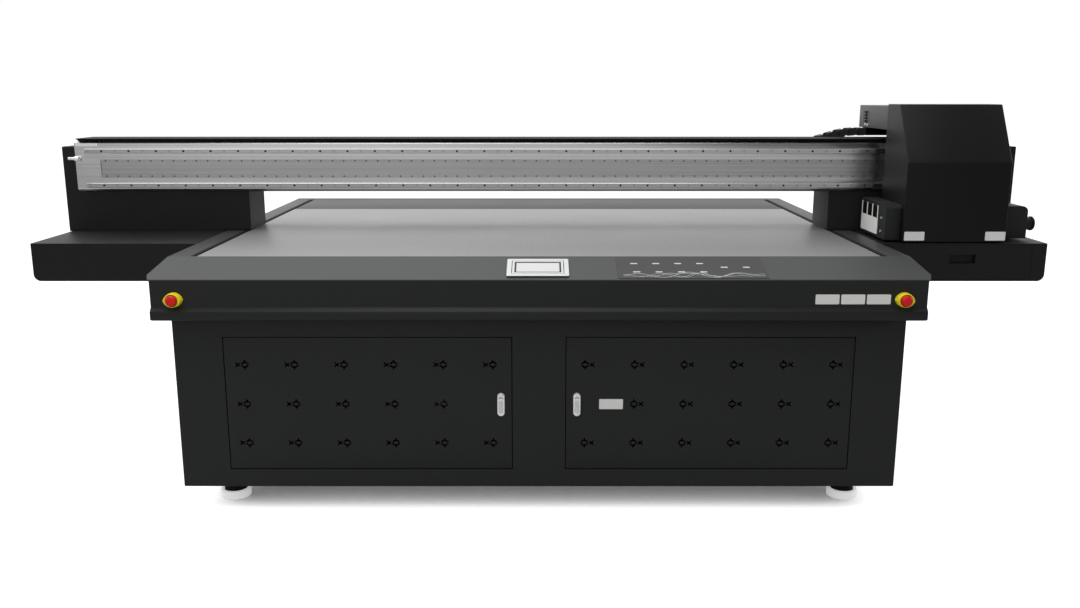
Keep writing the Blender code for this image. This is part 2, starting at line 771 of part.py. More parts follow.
def console_panel():
    """Sloped plate in front of the bed, with the screen's cutout."""
    back = BED_FRONT - TOUCH
    outline = [
        (back, console_height(back)),
        (APRON_FACE, CONSOLE_LOW),
        (APRON_FACE, CONSOLE_LOW - CONSOLE_PLATE),
        (back, console_height(back) - CONSOLE_PLATE),
    ]
    wide = TABLE_EDGE + CONSOLE_FLARE
    panel = prism("console_panel", outline, "x", -wide, wide)
    past = [
        (TABLE_EDGE, BED_FRONT + 0.010),
        (TABLE_EDGE, BED_FRONT),
        (wide, APRON_FACE + CONSOLE_CORNER),
        (TABLE_EDGE + CONSOLE_TIP, APRON_FACE),
        (TABLE_EDGE + CONSOLE_TIP, APRON_FACE - 0.010),
        (wide + 0.010, APRON_FACE - 0.010),
        (wide + 0.010, BED_FRONT + 0.010),
    ]
    corners = [
        prism(f"console_corner_{word}", mirrored(past, side), "z", CONSOLE_LOW - 0.050, BED_TOP + 0.050)
        for word, side in SIDES.items()
    ]
    cutout = sloped_box(
        "screen_cutout",
        SCREEN_CENTRE,
        (SCREEN_WIDTH - 2 * SCREEN_LEDGE + 2 * SLIDE, SCREEN_HEIGHT - 2 * SCREEN_LEDGE + 2 * SLIDE),
        (-0.030, 0.030),
    )
    cut(panel, cutout, *corners)
    return finish(panel, "grey")


def slope_matrix(x):
    """Frame on the middle of the console's slope: X across, Y up the slope, Z outwards."""
    middle = Vector((x, (BED_FRONT + APRON_FACE) / 2, (BED_TOP + CONSOLE_LOW) / 2))
    return Matrix.Translation(middle) @ Matrix.Rotation(CONSOLE_ANGLE, 4, "X")


def sloped_box(name, place, size, height):
    """Box on the slope, with its middle at a place across and up the slope."""
    bm = bmesh.new()
    x, up = place
    add_box(bm, (-size[0] / 2, size[0] / 2), (up - size[1] / 2, up + size[1] / 2), height)
    bmesh.ops.transform(bm, matrix=slope_matrix(x), verts=bm.verts[:])
    return new_object(name, bm)


def touch_screen():
    """Panel computer: bezel on the console, glass sunk in it, body through the cutout."""
    bezel = sloped_box("touch_screen", SCREEN_CENTRE, (SCREEN_WIDTH, SCREEN_HEIGHT), (TOUCH, SCREEN_PROUD))
    body_size = (SCREEN_WIDTH - 2 * SCREEN_LEDGE, SCREEN_HEIGHT - 2 * SCREEN_LEDGE)
    body = sloped_box("screen_body", SCREEN_CENTRE, body_size, (-SCREEN_BODY_DEPTH, SCREEN_PROUD / 2))
    window_size = (GLASS_WIDTH, GLASS_HEIGHT)
    window = sloped_box("screen_window", SCREEN_CENTRE, window_size, (SCREEN_PROUD - GLASS_SINK, 0.050))
    weld(bezel, body)
    cut(bezel, window)
    return finish(bezel, "silver")


def key_panel():
    """Membrane keypad, one flat overlay on the console."""
    size = (KEYS_WIDTH, KEYS_HEIGHT)
    return finish(sloped_box("key_panel", KEYS_CENTRE, size, (TOUCH, TOUCH + KEYS_PLATE)), "plastic")


def estop_place(word):
    return Vector((SIDES[word] * (TABLE_EDGE - ESTOP_INSET), APRON_FACE, ESTOP_HEIGHT))


def guard_outline(middle):
    """Almond outline round a middle, with its points to the left and the right."""
    half, rise = GUARD_LENGTH / 2, GUARD_HEIGHT / 2
    radius = (half * half + rise * rise) / (2 * rise)
    turn = math.degrees(math.asin(half / radius))
    upper = arc((middle.x, middle.z + rise - radius), radius, 90 - turn, 90 + turn, 12)
    lower = arc((middle.x, middle.z - rise + radius), radius, 270 - turn, 270 + turn, 12)
    return upper + lower[1:-1]


def estop_guard(word):
    """Deep almond collar round the stop button."""
    middle = estop_place(word)
    collar = prism(
        f"estop_guard_{word}", guard_outline(middle), "y", APRON_FACE - GUARD_DEPTH, APRON_FACE - TOUCH
    )
    bore = rod(
        f"guard_bore_{word}", ESTOP_CAP_RADIUS + 0.003, 0.060, middle + Vector((0, 0.020, 0)), FORWARD
    )
    cut(collar, bore)
    return finish(collar, "yellow", smooth=True)


def estop_button(word):
    """Mushroom cap and stem. The travel is left free under the cap."""
    under = 0.012 + ESTOP_TRAVEL
    profile = [
        (0, -0.045),
        (ESTOP_STEM_RADIUS, -0.045),
        (ESTOP_STEM_RADIUS, under),
        (ESTOP_CAP_RADIUS, under),
        (ESTOP_CAP_RADIUS, ESTOP_PROUD - 0.007),
        (ESTOP_CAP_RADIUS * 0.85, ESTOP_PROUD - 0.002),
        (ESTOP_CAP_RADIUS * 0.45, ESTOP_PROUD),
        (0, ESTOP_PROUD),
    ]
    cap = turned(f"estop_button_{word}", profile, estop_place(word), FORWARD, FINE)
    return finish(cap, "red", smooth=True)


def side_band(word):
    """Cover over the Y rail: top, outer skirt, lower return and slot lip."""
    side = SIDES[word]
    outline = [
        (BAND_INNER, BED_TOP),
        (TABLE_EDGE, BED_TOP),
        (TABLE_EDGE, TABLE_BOTTOM),
        (CABINET_EDGE + SEAM, TABLE_BOTTOM),
        (CABINET_EDGE + SEAM, TABLE_BOTTOM + SHEET),
        (TABLE_EDGE - SHEET, TABLE_BOTTOM + SHEET),
        (TABLE_EDGE - SHEET, BED_TOP - SHEET),
        (BAND_INNER + SHEET, BED_TOP - SHEET),
        (BAND_INNER + SHEET, BED_TOP - 0.013),
        (BAND_INNER, BED_TOP - 0.013),
    ]
    band = prism(f"side_band_{word}", mirrored(outline, side), "y", BED_FRONT, DECK_BACK)
    return finish(band, "grey")


def rear_apron():
    """Rear cover: top edge, rounded corner, drop and end cheeks."""
    front = DECK_BACK + TOUCH
    corner = (REAR - REAR_ROUND, BED_TOP - REAR_ROUND)
    inner_corner = REAR_ROUND - SHEET
    outline = [(front, TABLE_BOTTOM), (front, BED_TOP)]
    outline += reversed(arc(corner, REAR_ROUND, 0, 90, 6))
    outline += [(REAR, TABLE_BOTTOM)]
    apron = prism("rear_apron", outline, "x", -TABLE_EDGE, TABLE_EDGE)
    inside = [(front - 0.050, TABLE_BOTTOM + SHEET), (front - 0.050, BED_TOP - SHEET)]
    inside += reversed(arc(corner, inner_corner, 0, 90, 6))
    inside += [(REAR - SHEET, TABLE_BOTTOM + SHEET)]
    room = prism("rear_apron_room", inside, "x", -TABLE_EDGE + SHEET, TABLE_EDGE - SHEET)
    opening = box(
        "rear_cabinet_opening",
        (-CABINET_EDGE - SEAM, CABINET_EDGE + SEAM),
        (front - 0.050, CABINET_BACK + SEAM),
        (TABLE_BOTTOM - 0.010, TABLE_BOTTOM + 0.010),
    )
    cut(apron, room, opening)
    return finish(apron, "black")


def vacuum_bed():
    x = (-BED_EDGE, BED_EDGE)
    bed = box("vacuum_bed", x, (BED_FRONT, BED_BACK), (BED_TOP - BED_PLATE, BED_TOP))
    return finish(bed, "bed")


def rear_deck():
    """Pan behind the bed, on the last cross tubes."""
    y = (BED_BACK + TOUCH, DECK_BACK)
    deck = box("rear_deck", (-BED_EDGE, BED_EDGE), y, (PLENUM_BOTTOM, BED_TOP))
    room = box(
        "rear_deck_room",
        (-BED_EDGE + SHEET, BED_EDGE - SHEET),
        (y[0] + SHEET, y[1] - SHEET),
        (PLENUM_BOTTOM - 0.010, BED_TOP - SHEET),
    )
    cut(deck, room)
    return finish(deck, "grey")


def vacuum_plenum():
    """Tray under the bed in six zones, each with a port for the blower's hose."""
    edge = BED_EDGE - 0.005
    front = BED_FRONT + 0.005
    back = BED_BACK - 0.005
    tray = box("vacuum_plenum", (-edge, edge), (front, back), (PLENUM_BOTTOM, PLENUM_TOP))
    zones = bmesh.new()
    ports = []
    columns, rows = 3, 2
    wide = (2 * edge - (columns + 1) * PLENUM_WALL) / columns
    deep = (back - front - (rows + 1) * PLENUM_WALL) / rows
    for column in range(columns):
        for row in range(rows):
            x = -edge + PLENUM_WALL + column * (wide + PLENUM_WALL)
            y = front + PLENUM_WALL + row * (deep + PLENUM_WALL)
            add_box(zones, (x, x + wide), (y, y + deep), (PLENUM_BOTTOM + PLENUM_FLOOR, PLENUM_TOP + 0.010))
            spot = (x + wide / 2, y + deep / 2 + 0.060, PLENUM_BOTTOM - 0.010)
            ports.append(rod(f"port_{column}_{row}", PORT_RADIUS, 0.030, spot))
    cut(tray, new_object("plenum_zones", zones), *ports)
    return finish(tray, "alloy")


# ---------------------------------------------------------------- Y guides
def y_rail(word):
    side = SIDES[word]
    x = span(side, RAIL_X - RAIL_WIDTH / 2, RAIL_X + RAIL_WIDTH / 2)
    return finish(box(f"y_rail_{word}", x, (RAIL_FRONT, RAIL_BACK), (RAIL_SEAT, RAIL_TOP)), "steel")


def magnet_span():
    """Where the linear motor's track lies, between the truck and the beam's edge."""
    low = RAIL_X + TRUCK_WIDTH / 2 + 0.003
    return low, low + MAGNET_WIDTH


def y_magnet(word):
    x = span(SIDES[word], *magnet_span())
    z = (RAIL_SEAT, RAIL_SEAT + MAGNET_HEIGHT)
    return finish(box(f"y_magnet_{word}", x, (RAIL_FRONT, RAIL_BACK), z), "dark_steel")


def saddle(middle, rail, seat, top, width, grip):
    """Outline of a truck that wraps a rail: (across, up), open at its lower side."""
    half = width / 2
    groove = rail / 2 + SLIDE
    return [
        (middle - half, seat + grip),
        (middle - groove, seat + grip),
        (middle - groove, top - TRUCK_TOP),
        (middle + groove, top - TRUCK_TOP),
        (middle + groove, seat + grip),
        (middle + half, seat + grip),
        (middle + half, top),
        (middle - half, top),
    ]


def y_truck(word):
    outline = saddle(RAIL_X, RAIL_WIDTH, RAIL_SEAT, Y_TRUCK_TOP, TRUCK_WIDTH, 0.006)
    middle = (LEG_FRONT + LEG_BACK) / 2
    y = (middle - Y_TRUCK_LENGTH / 2, middle + Y_TRUCK_LENGTH / 2)
    truck = prism(f"y_truck_{word}", mirrored(outline, SIDES[word]), "y", *y)
    return finish(truck, "steel")


# ---------------------------------------------------------------- gantry
def gantry_leg(word):
    """Casting on the Y truck: carrier plate through the slot, post and wing arm."""
    side = SIDES[word]
    y = (LEG_FRONT, LEG_BACK)
    plate = (SLOT_MIDDLE - CARRIER_PLATE / 2, SLOT_MIDDLE + CARRIER_PLATE / 2)
    flange_low = Y_TRUCK_TOP + TOUCH
    over = BED_TOP + SHIELD_LIFT + SHEET
    magnet = magnet_span()
    leg = box(f"gantry_leg_{word}", span(side, *plate), y, (flange_low, over + 0.050))
    flange = box(
        f"leg_flange_{word}",
        span(side, plate[0], magnet[1]),
        (y[0] + 0.001, y[1] - 0.001),
        (flange_low + 0.0005, flange_low + FOOT_FLANGE),
    )
    coil = box(
        f"leg_coil_{word}",
        span(side, magnet[0] + 0.0005, magnet[1] - 0.0005),
        (y[0] + 0.010, y[1] - 0.010),
        (RAIL_SEAT + MAGNET_HEIGHT + COIL_GAP, flange_low + 0.005),
    )
    post = box(
        f"leg_post_{word}",
        span(side, plate[0] + 0.001, plate[0] + LEG_WIDTH),
        (y[0] + 0.002, y[1] - 0.002),
        (over, BEAM_BOTTOM - TOUCH),
    )
    arm = box(
        f"leg_arm_{word}",
        span(side, WING_INNER + 0.010, BEAM_END - 0.030),
        (y[0] + 0.003, y[1] - 0.003),
        (WING_TOP + TOUCH, WING_TOP + ARM_HEIGHT),
    )
    weld(leg, flange, coil, post, arm)
    return finish(leg, "alloy")


def leg_shield(word):
    """Sheet cover round the leg, with the end panel that stands beside the beam."""
    side = SIDES[word]
    inner = BED_EDGE - 0.005
    low = BED_TOP + SHIELD_LIFT
    top = BEAM_BOTTOM - TOUCH
    step = WING_INNER + 0.001
    end = SHIELD_OUTER - SHIELD_END_WIDTH
    outline = [
        (inner, low),
        (step, low),
        (step, WING_TOP + TOUCH),
        (SHIELD_OUTER, WING_TOP + TOUCH),
        (SHIELD_OUTER, SHIELD_END_TOP),
        (end, SHIELD_END_TOP),
        (end, top),
        (inner, top),
    ]
    shield = prism(f"leg_shield_{word}", mirrored(outline, side), "y", SHIELD_FRONT, SHIELD_BACK)
    inside = [
        (inner + SHEET, low - 0.050),
        (SHIELD_OUTER - SHEET, low - 0.050),
        (SHIELD_OUTER - SHEET, SHIELD_END_TOP - SHEET),
        (end + SHEET, SHIELD_END_TOP - SHEET),
        (end + SHEET, top - SHEET),
        (inner + SHEET, top - SHEET),
    ]
    y = (SHIELD_FRONT + SHEET, SHIELD_BACK - SHEET)
    room = prism(f"shield_room_{word}", mirrored(inside, side), "y", *y)
    hatch = box(
        f"shield_hatch_{word}",
        span(side, inner + 2 * SHEET, SLOT_MIDDLE - CARRIER_PLATE / 2 + LEG_WIDTH + 0.010),
        (LEG_FRONT - 0.005, LEG_BACK + 0.005),
        (top - 0.010, top + 0.010),
    )
    cut(shield, room, hatch)
    return finish(shield, "black")


def wing_shell_outline(offset):
    """Wing section (x, z) with its rounded lower outer corner."""
    low = WING_BOTTOM + offset
    high = WING_TOP - offset
    outer = WING_OUTER - offset
    radius = WING_ROUND - offset
    inner = WING_INNER if offset == 0 else WING_INNER - 0.050
    corner = arc((outer - radius, low + radius), radius, 270, 360, 6)
    return [(inner, high), (inner, low)] + corner + [(outer, high)]


def wing(word):
    """Tray beside the table, open at the end that faces the table."""
    side = SIDES[word]
    outline = mirrored(wing_shell_outline(0), side)
    shell = prism(f"wing_{word}", outline, "y", WING_FACE, WING_BACK)
    inside = mirrored(wing_shell_outline(SHEET), side)
    room = prism(f"wing_room_{word}", inside, "y", WING_FACE + SHEET, WING_BACK - SHEET)
    tools = [room]
    if side > 0:
        gap = 0.001
        tools.append(
            box(
                "drawer_opening",
                (DRAWER_INNER - gap, DRAWER_OUTER + gap),
                (WING_FACE - 0.010, WING_FACE + 0.010),
                (WING_BOTTOM + DRAWER_BORDER - gap, WING_TOP - DRAWER_BORDER + gap),
            )
        )
        x, y = cap_station_span(0.008)
        tools.append(box("cap_opening", x, y, (WING_TOP - 0.010, WING_TOP + 0.010)))
    cut(shell, *tools)
    return finish(shell, "black")


def cap_station_span(margin=0.0):
    """The capping station's plan, under the parked print heads."""
    middle = head_block_middle()
    x = (HOOD_MIDDLE - CAP_STATION[0] / 2 - margin, HOOD_MIDDLE + CAP_STATION[0] / 2 + margin)
    y = (middle - CAP_STATION[1] / 2 - margin, middle + CAP_STATION[1] / 2 + margin)
    return x, y


def head_block_middle():
    return (HOOD_FACE + HOOD_REAR) / 2


def capping_station():
    """Cap carrier: a block with a pocket for each row of heads."""
    x, y = cap_station_span()
    top = NOZZLES - TOUCH
    block = box("capping_station", x, y, (top - CAP_BODY, top))
    pockets = bmesh.new()
    for index in range(4):
        low = x[0] + 0.030 + index * 0.060
        add_box(pockets, (low, low + 0.040), (y[0] + 0.020, y[1] - 0.020), (top - 0.015, top + 0.010))
    cut(block, new_object("cap_pockets", pockets))
    return finish(block, "plastic")


def wing_drawer():
    """Waste tray that pulls out of the right wing by its recessed grip."""
    low = WING_BOTTOM + DRAWER_BORDER
    high = WING_TOP - DRAWER_BORDER
    panel = box("wing_drawer", (DRAWER_INNER, DRAWER_OUTER), (WING_FACE, WING_FACE + SHEET), (low, high))
    tray = box(
        "drawer_tray",
        (DRAWER_INNER + 0.008, DRAWER_OUTER - 0.008),
        (WING_FACE + SHEET / 2, WING_FACE + DRAWER_LENGTH),
        (low + 0.0005, low + DRAWER_TRAY),
    )
    hollow = box(
        "drawer_hollow",
        (DRAWER_INNER + 0.008 + SHEET, DRAWER_OUTER - 0.008 - SHEET),
        (WING_FACE + SHEET + 0.0005, WING_FACE + DRAWER_LENGTH - SHEET),
        (low + 0.0005 + SHEET, low + DRAWER_TRAY + 0.010),
    )
    middle = (DRAWER_INNER + DRAWER_OUTER) / 2 + PULL_SHIFT
    height = (low + high) / 2 + 0.013
    wall = 0.002
    cup = box(
        "pull_cup",
        (middle - PULL_WIDTH / 2 - wall, middle + PULL_WIDTH / 2 + wall),
        (WING_FACE + SHEET / 2, WING_FACE + PULL_DEPTH + wall),
        (height - PULL_HEIGHT / 2 - wall, height + PULL_HEIGHT / 2 + wall),
    )
    recess = box(
        "pull_recess",
        (middle - PULL_WIDTH / 2, middle + PULL_WIDTH / 2),
        (WING_FACE - 0.010, WING_FACE + PULL_DEPTH),
        (height - PULL_HEIGHT / 2, height + PULL_HEIGHT / 2),
    )
    weld(panel, tray)
    cut(panel, hollow)
    weld(panel, cup)
    cut(panel, recess)
    return finish(panel, "black")


def ink_tanks():
    """Rack of six ink bottles in the left wing."""
    x = (-WING_OUTER + 0.100, -WING_INNER - 0.080)
    y = (WING_FACE + 0.050, WING_FACE + 0.290)
    floor = WING_BOTTOM + SHEET + TOUCH
    rack = box("ink_tanks", x, y, (floor, floor + 0.030))
    bottles = []
    pitch = (x[1] - x[0]) / 6
    for index in range(6):
        place = (x[0] + pitch * (index + 0.5), (y[0] + y[1]) / 2, floor + 0.020)
        profile = [(0, 0), (0.036, 0), (0.036, 0.080), (0.014, 0.095), (0.014, 0.110), (0, 0.110)]
        bottles.append(turned(f"ink_bottle_{index}", profile, place, segments=16))
    weld(rack, *bottles)
    return finish(rack, "plastic")


def gantry_beam():
    """Box beam with a channel in its front face for the motor's track."""
    low = CHANNEL_MIDDLE - CHANNEL_HEIGHT / 2
    high = CHANNEL_MIDDLE + CHANNEL_HEIGHT / 2
    outline = [
        (BEAM_FRONT, BEAM_BOTTOM + BEAM_CHAMFER),
        (BEAM_FRONT, BEAM_TOP - BEAM_CHAMFER),
        (BEAM_FRONT + BEAM_CHAMFER, BEAM_TOP),
        (BEAM_BACK, BEAM_TOP),
        (BEAM_BACK, BEAM_BOTTOM),
        (BEAM_FRONT + BEAM_CHAMFER, BEAM_BOTTOM),
    ]
    beam = prism("gantry_beam", outline, "x", -BEAM_END, BEAM_END)
    bore = box(
        "beam_bore",
        (-BEAM_END - 0.010, BEAM_END + 0.010),
        (BEAM_FRONT + CHANNEL_DEPTH + BEAM_WALL, BEAM_BACK - BEAM_WALL),
        (BEAM_BOTTOM + BEAM_WALL, BEAM_TOP - BEAM_WALL),
    )
    reach = BEAM_END - CHANNEL_END
    y = (BEAM_FRONT - 0.010, BEAM_FRONT + CHANNEL_DEPTH)
    channel = box("beam_channel", (-reach, reach), y, (low, high))
    cut(beam, bore, channel)
    return finish(beam, "alloy")


def x_rail_heights():
    high = BEAM_TOP - X_RAIL_INSET - X_RAIL_WIDTH / 2
    low = BEAM_BOTTOM + X_RAIL_LOW_INSET + X_RAIL_WIDTH / 2
    return {"upper": high, "lower": low}


def x_rail(word):
    middle = x_rail_heights()[word]
    reach = BEAM_END - X_RAIL_END
    z = (middle - X_RAIL_WIDTH / 2, middle + X_RAIL_WIDTH / 2)
    return finish(box(f"x_rail_{word}", (-reach, reach), (RAIL_FACE, BEAM_FRONT - TOUCH), z), "steel")


def x_magnet_track():
    """Track plate in the beam's channel, with its magnets sunk between the screw rows."""
    reach = BEAM_END - CHANNEL_END - TOUCH
    back = BEAM_FRONT + CHANNEL_DEPTH - TOUCH
    face = back - MAGNET_BACKING
    half = CHANNEL_HEIGHT / 2 - TOUCH
    sunk = CHANNEL_HEIGHT / 2 - 0.011
    outline = [
        (back, CHANNEL_MIDDLE - half),
        (face, CHANNEL_MIDDLE - half),
        (face, CHANNEL_MIDDLE - sunk),
        (face + 0.004, CHANNEL_MIDDLE - sunk),
        (face + 0.004, CHANNEL_MIDDLE + sunk),
        (face, CHANNEL_MIDDLE + sunk),
        (face, CHANNEL_MIDDLE + half),
        (back, CHANNEL_MIDDLE + half),
    ]
    return finish(prism("x_magnet_track", outline, "x", -reach, reach), "alloy")


def chain_tray():
    """Folded tray behind the beam, whose front edge is the strip over the beam."""
    bottom = TRAY_FLOOR - SHEET
    strip_top = BEAM_TOP + STRIP_HEIGHT
    strip_low = BEAM_TOP + TOUCH
    wall_top = BEAM_TOP + TRAY_WALL_TOP
    nose = BEAM_FRONT - SHEET
    outline = [
        (nose, strip_low),
        (nose, strip_top),
        (TRAY_FRONT + SHEET, strip_top),
        (TRAY_FRONT + SHEET, TRAY_FLOOR),
        (TRAY_BACK - SHEET, TRAY_FLOOR),
        (TRAY_BACK - SHEET, wall_top),
        (TRAY_BACK, wall_top),
        (TRAY_BACK, bottom),
        (TRAY_FRONT, bottom),
        (TRAY_FRONT, strip_top - SHEET),
        (nose + SHEET, strip_top - SHEET),
        (nose + SHEET, strip_low),
    ]
    reach = BEAM_END - TRAY_END
    tray = prism("chain_tray", outline, "x", -reach, reach)
    for vertex in tray.data.vertices:
        share = max(0.0, (vertex.co.z - strip_low) / STRIP_HEIGHT)
        vertex.co.x += math.copysign(STRIP_SLANT * min(1.0, share), vertex.co.x)
    return finish(tray, "black")


def end_buffer(word):
    """Rubber-headed stop in front of the beam's end, on the end panel's side."""
    side = SIDES[word]
    place = Vector((side * (SHIELD_OUTER - SHIELD_END_WIDTH + 0.020), RAIL_FACE - 0.002, BEAM_TOP - BUFFER_DROP))
    thin = BUFFER_RADIUS * 0.55
    half = BUFFER_LENGTH / 2
    profile = [
        (0, 0),
        (thin, 0),
        (thin, half),
        (BUFFER_RADIUS, half),
        (BUFFER_RADIUS, BUFFER_LENGTH),
        (0, BUFFER_LENGTH),
    ]
    turn = Matrix.Rotation(math.radians(-90 * side), 4, "Y")
    stop = turned(f"end_buffer_{word}", profile, place, turn, 16)
    tab = box(
        f"buffer_tab_{word}",
        span(side, BEAM_END - 0.030, BEAM_END - 0.022),
        (place.y - 0.006, BEAM_FRONT - TOUCH),
        (place.z - 0.009, place.z + 0.009),
    )
    weld(stop, tab)
    return finish(stop, "silver")


# ---------------------------------------------------------------- energy chain
def chain_lower():
    """Run that lies on the tray's floor, with its fixed end at the beam's middle."""
    far = CHAIN_LOOP_X - CARRIAGE_TRAVEL / 2
    y = (CHAIN_FRONT, CHAIN_BACK)
    run = box("chain_lower", (far, CHAIN_FIXED_END), y, (CHAIN_BASE, CHAIN_BASE + CHAIN_HEIGHT))
    clamp = box(
        "chain_clamp",
        (CHAIN_FIXED_END - 0.040, CHAIN_FIXED_END + 0.030),
        (CHAIN_FRONT + 0.005, CHAIN_BACK - 0.005),
        (TRAY_FLOOR + TOUCH, CHAIN_BASE + CHAIN_HEIGHT + 0.006),
    )
    weld(run, clamp)
    return finish(run, "plastic")


def chain_loop():
    """Half turn between the two runs, cut off where it meets the lower run."""
    centre = (CHAIN_LOOP_X, LOOP_CENTRE_Z)
    outer = CHAIN_BEND + CHAIN_HEIGHT / 2
    inner = CHAIN_BEND - CHAIN_HEIGHT / 2
    cut_height = CHAIN_BASE + CHAIN_HEIGHT + 2 * TOUCH
    drop = LOOP_CENTRE_Z - cut_height
    outer_end = 180 + math.degrees(math.asin(drop / outer))
    inner_end = 180 + math.degrees(math.asin(min(1.0, drop / inner)))
    outline = arc(centre, outer, 90, outer_end, 14)
    outline += reversed(arc(centre, inner, 90, inner_end, 14))
    return finish(prism("chain_loop", outline, "y", CHAIN_FRONT, CHAIN_BACK), "plastic")


def chain_rise(x):
    """Height of the upper run over its level part, near the carriage."""
    end = HOOD_LEFT - 0.026
    share = (x - (end - CHAIN_RISE_RUN)) / CHAIN_RISE_RUN
    share = min(1.0, max(0.0, share))
    return CHAIN_RISE * share * share * (3 - 2 * share)


def chain_upper():
    """Run from the loop to the bracket under the carriage's arm."""
    start = CHAIN_LOOP_X + TOUCH
    end = HOOD_LEFT + 0.001
    level = HOOD_LEFT - 0.026 - CHAIN_RISE_RUN
    points = [start] + [level + (end - level) * step / 10 for step in range(11)]
    low = [(x, CHAIN_UPPER + chain_rise(x)) for x in points]
    high = [(x, z + CHAIN_HEIGHT) for x, z in low]
    run = prism("chain_upper", low + high[::-1], "y", CHAIN_FRONT, CHAIN_BACK)
    return finish(run, "plastic")


# ---------------------------------------------------------------- carriage and head
def x_truck(word):
    middle = x_rail_heights()[word]
    half = X_TRUCK_WIDTH / 2
    groove = X_RAIL_WIDTH / 2 + SLIDE
    back = BEAM_FRONT - 0.004
    outline = [
        (TRUCK_FACE, middle - half),
        (back, middle - half),
        (back, middle - groove),
        (RAIL_FACE - SLIDE, middle - groove),
        (RAIL_FACE - SLIDE, middle + groove),
        (back, middle + groove),
        (back, middle + half),
        (TRUCK_FACE, middle + half),
    ]
    x = (HOOD_MIDDLE - X_TRUCK_LENGTH / 2, HOOD_MIDDLE + X_TRUCK_LENGTH / 2)
    return finish(prism(f"x_truck_{word}", outline, "x", *x), "steel")


def guide_places():
    return [HOOD_MIDDLE - PLATE_WIDTH / 2 + 0.040, HOOD_MIDDLE + PLATE_WIDTH / 2 - 0.040]


def carriage_plate():
    """Plate on the X trucks, with the two upright guides of the head lift."""
    low = x_rail_heights()["lower"] - X_TRUCK_WIDTH / 2 - 0.036
    plate = box(
        "carriage_plate",
        (HOOD_MIDDLE - PLATE_WIDTH / 2, HOOD_MIDDLE + PLATE_WIDTH / 2),
        (PLATE_FRONT, PLATE_FRONT + CARRIAGE_PLATE),
        (low, ARM_BOTTOM - TOUCH),
    )
    guides = []
    for index, middle in enumerate(guide_places()):
        guides.append(
            box(
                f"lift_guide_{index}",
                (middle - GUIDE_WIDTH / 2, middle + GUIDE_WIDTH / 2),
                (PLATE_FRONT - GUIDE_DEPTH, PLATE_FRONT + 0.004),
                (low + 0.010, ARM_BOTTOM - 0.016),
            )
        )
    weld(plate, *guides)
    return finish(plate, "alloy")


def rear_arm():
    """Box over the beam that carries the chain's moving end."""
    x = (HOOD_LEFT, HOOD_LEFT + ARM_BOX_WIDTH)
    y = (HOOD_REAR + TOUCH, BEAM_FRONT + ARM_BOX_REACH)
    z = (ARM_BOTTOM, ARM_BOTTOM + ARM_BOX_HEIGHT)
    arm = box("rear_arm", x, y, z)
    room = box(
        "arm_room",
        (x[0] + SHEET, x[1] + 0.010),
        (y[0] + SHEET, y[1] - SHEET),
        (z[0] + SHEET, z[1] - SHEET),
    )
    bracket = box(
        "chain_bracket",
        (HOOD_LEFT + 0.001 + TOUCH, HOOD_LEFT + CHAIN_BRACKET),
        (CHAIN_FRONT + 0.002, CHAIN_BACK - 0.002),
        (CHAIN_UPPER + CHAIN_RISE + 0.001, ARM_BOTTOM + SHEET / 2),
    )
    cut(arm, room)
    weld(arm, bracket)
    return finish(arm, "grey")


def head_frame():
    """Lifting plate and the base plate that holds the print heads."""
    half = PLATE_WIDTH / 2
    plate = box(
        "head_frame",
        (HOOD_MIDDLE - half, HOOD_MIDDLE + half),
        (HEAD_PLATE_BACK - HEAD_PLATE, HEAD_PLATE_BACK),
        (HEAD_BASE_BOTTOM, HEAD_PLATE_TOP),
    )
    base = box(
        "head_base",
        (HOOD_LEFT + 2 * SHEET, HOOD_RIGHT - 2 * SHEET),
        (HOOD_FACE + 2 * SHEET, HEAD_PLATE_BACK - 0.001),
        (HEAD_BASE_BOTTOM + 0.0005, HEAD_BASE_BOTTOM + HEAD_BASE),
    )
    wide, deep = HEAD_BLOCK
    middle = head_block_middle()
    window = box(
        "head_window",
        (HOOD_MIDDLE - wide / 2 - SLIDE, HOOD_MIDDLE + wide / 2 + SLIDE),
        (middle - deep / 2 - SLIDE, middle + deep / 2 + SLIDE),
        (HEAD_BASE_BOTTOM - 0.010, HEAD_BASE_BOTTOM + HEAD_BASE + 0.010),
    )
    weld(plate, base)
    cut(plate, window)
    return finish(plate, "alloy")


def print_heads():
    """Four rows of print heads in one carrier, with their flange on the base plate."""
    wide, deep = HEAD_BLOCK
    middle = head_block_middle()
    x = (HOOD_MIDDLE - wide / 2, HOOD_MIDDLE + wide / 2)
    y = (middle - deep / 2, middle + deep / 2)
    block = box("print_heads", x, y, (NOZZLES, HEAD_BASE_BOTTOM + 0.040))
    base_top = HEAD_BASE_BOTTOM + HEAD_BASE + TOUCH
    flange = box(
        "head_flange",
        (x[0] - 0.012, x[1] + 0.012),
        (y[0] - 0.012, y[1] + 0.012),
        (base_top, base_top + 0.012),
    )
    rows = bmesh.new()
    for index in range(4):
        low = x[0] + 0.016 + index * 0.060
        add_box(rows, (low, low + 0.044), (y[0] + 0.010, y[1] - 0.010), (base_top + 0.020, HEAD_BLOCK_TOP))
    weld(block, flange, new_object("head_rows", rows))
    return finish(block, "dark_steel")


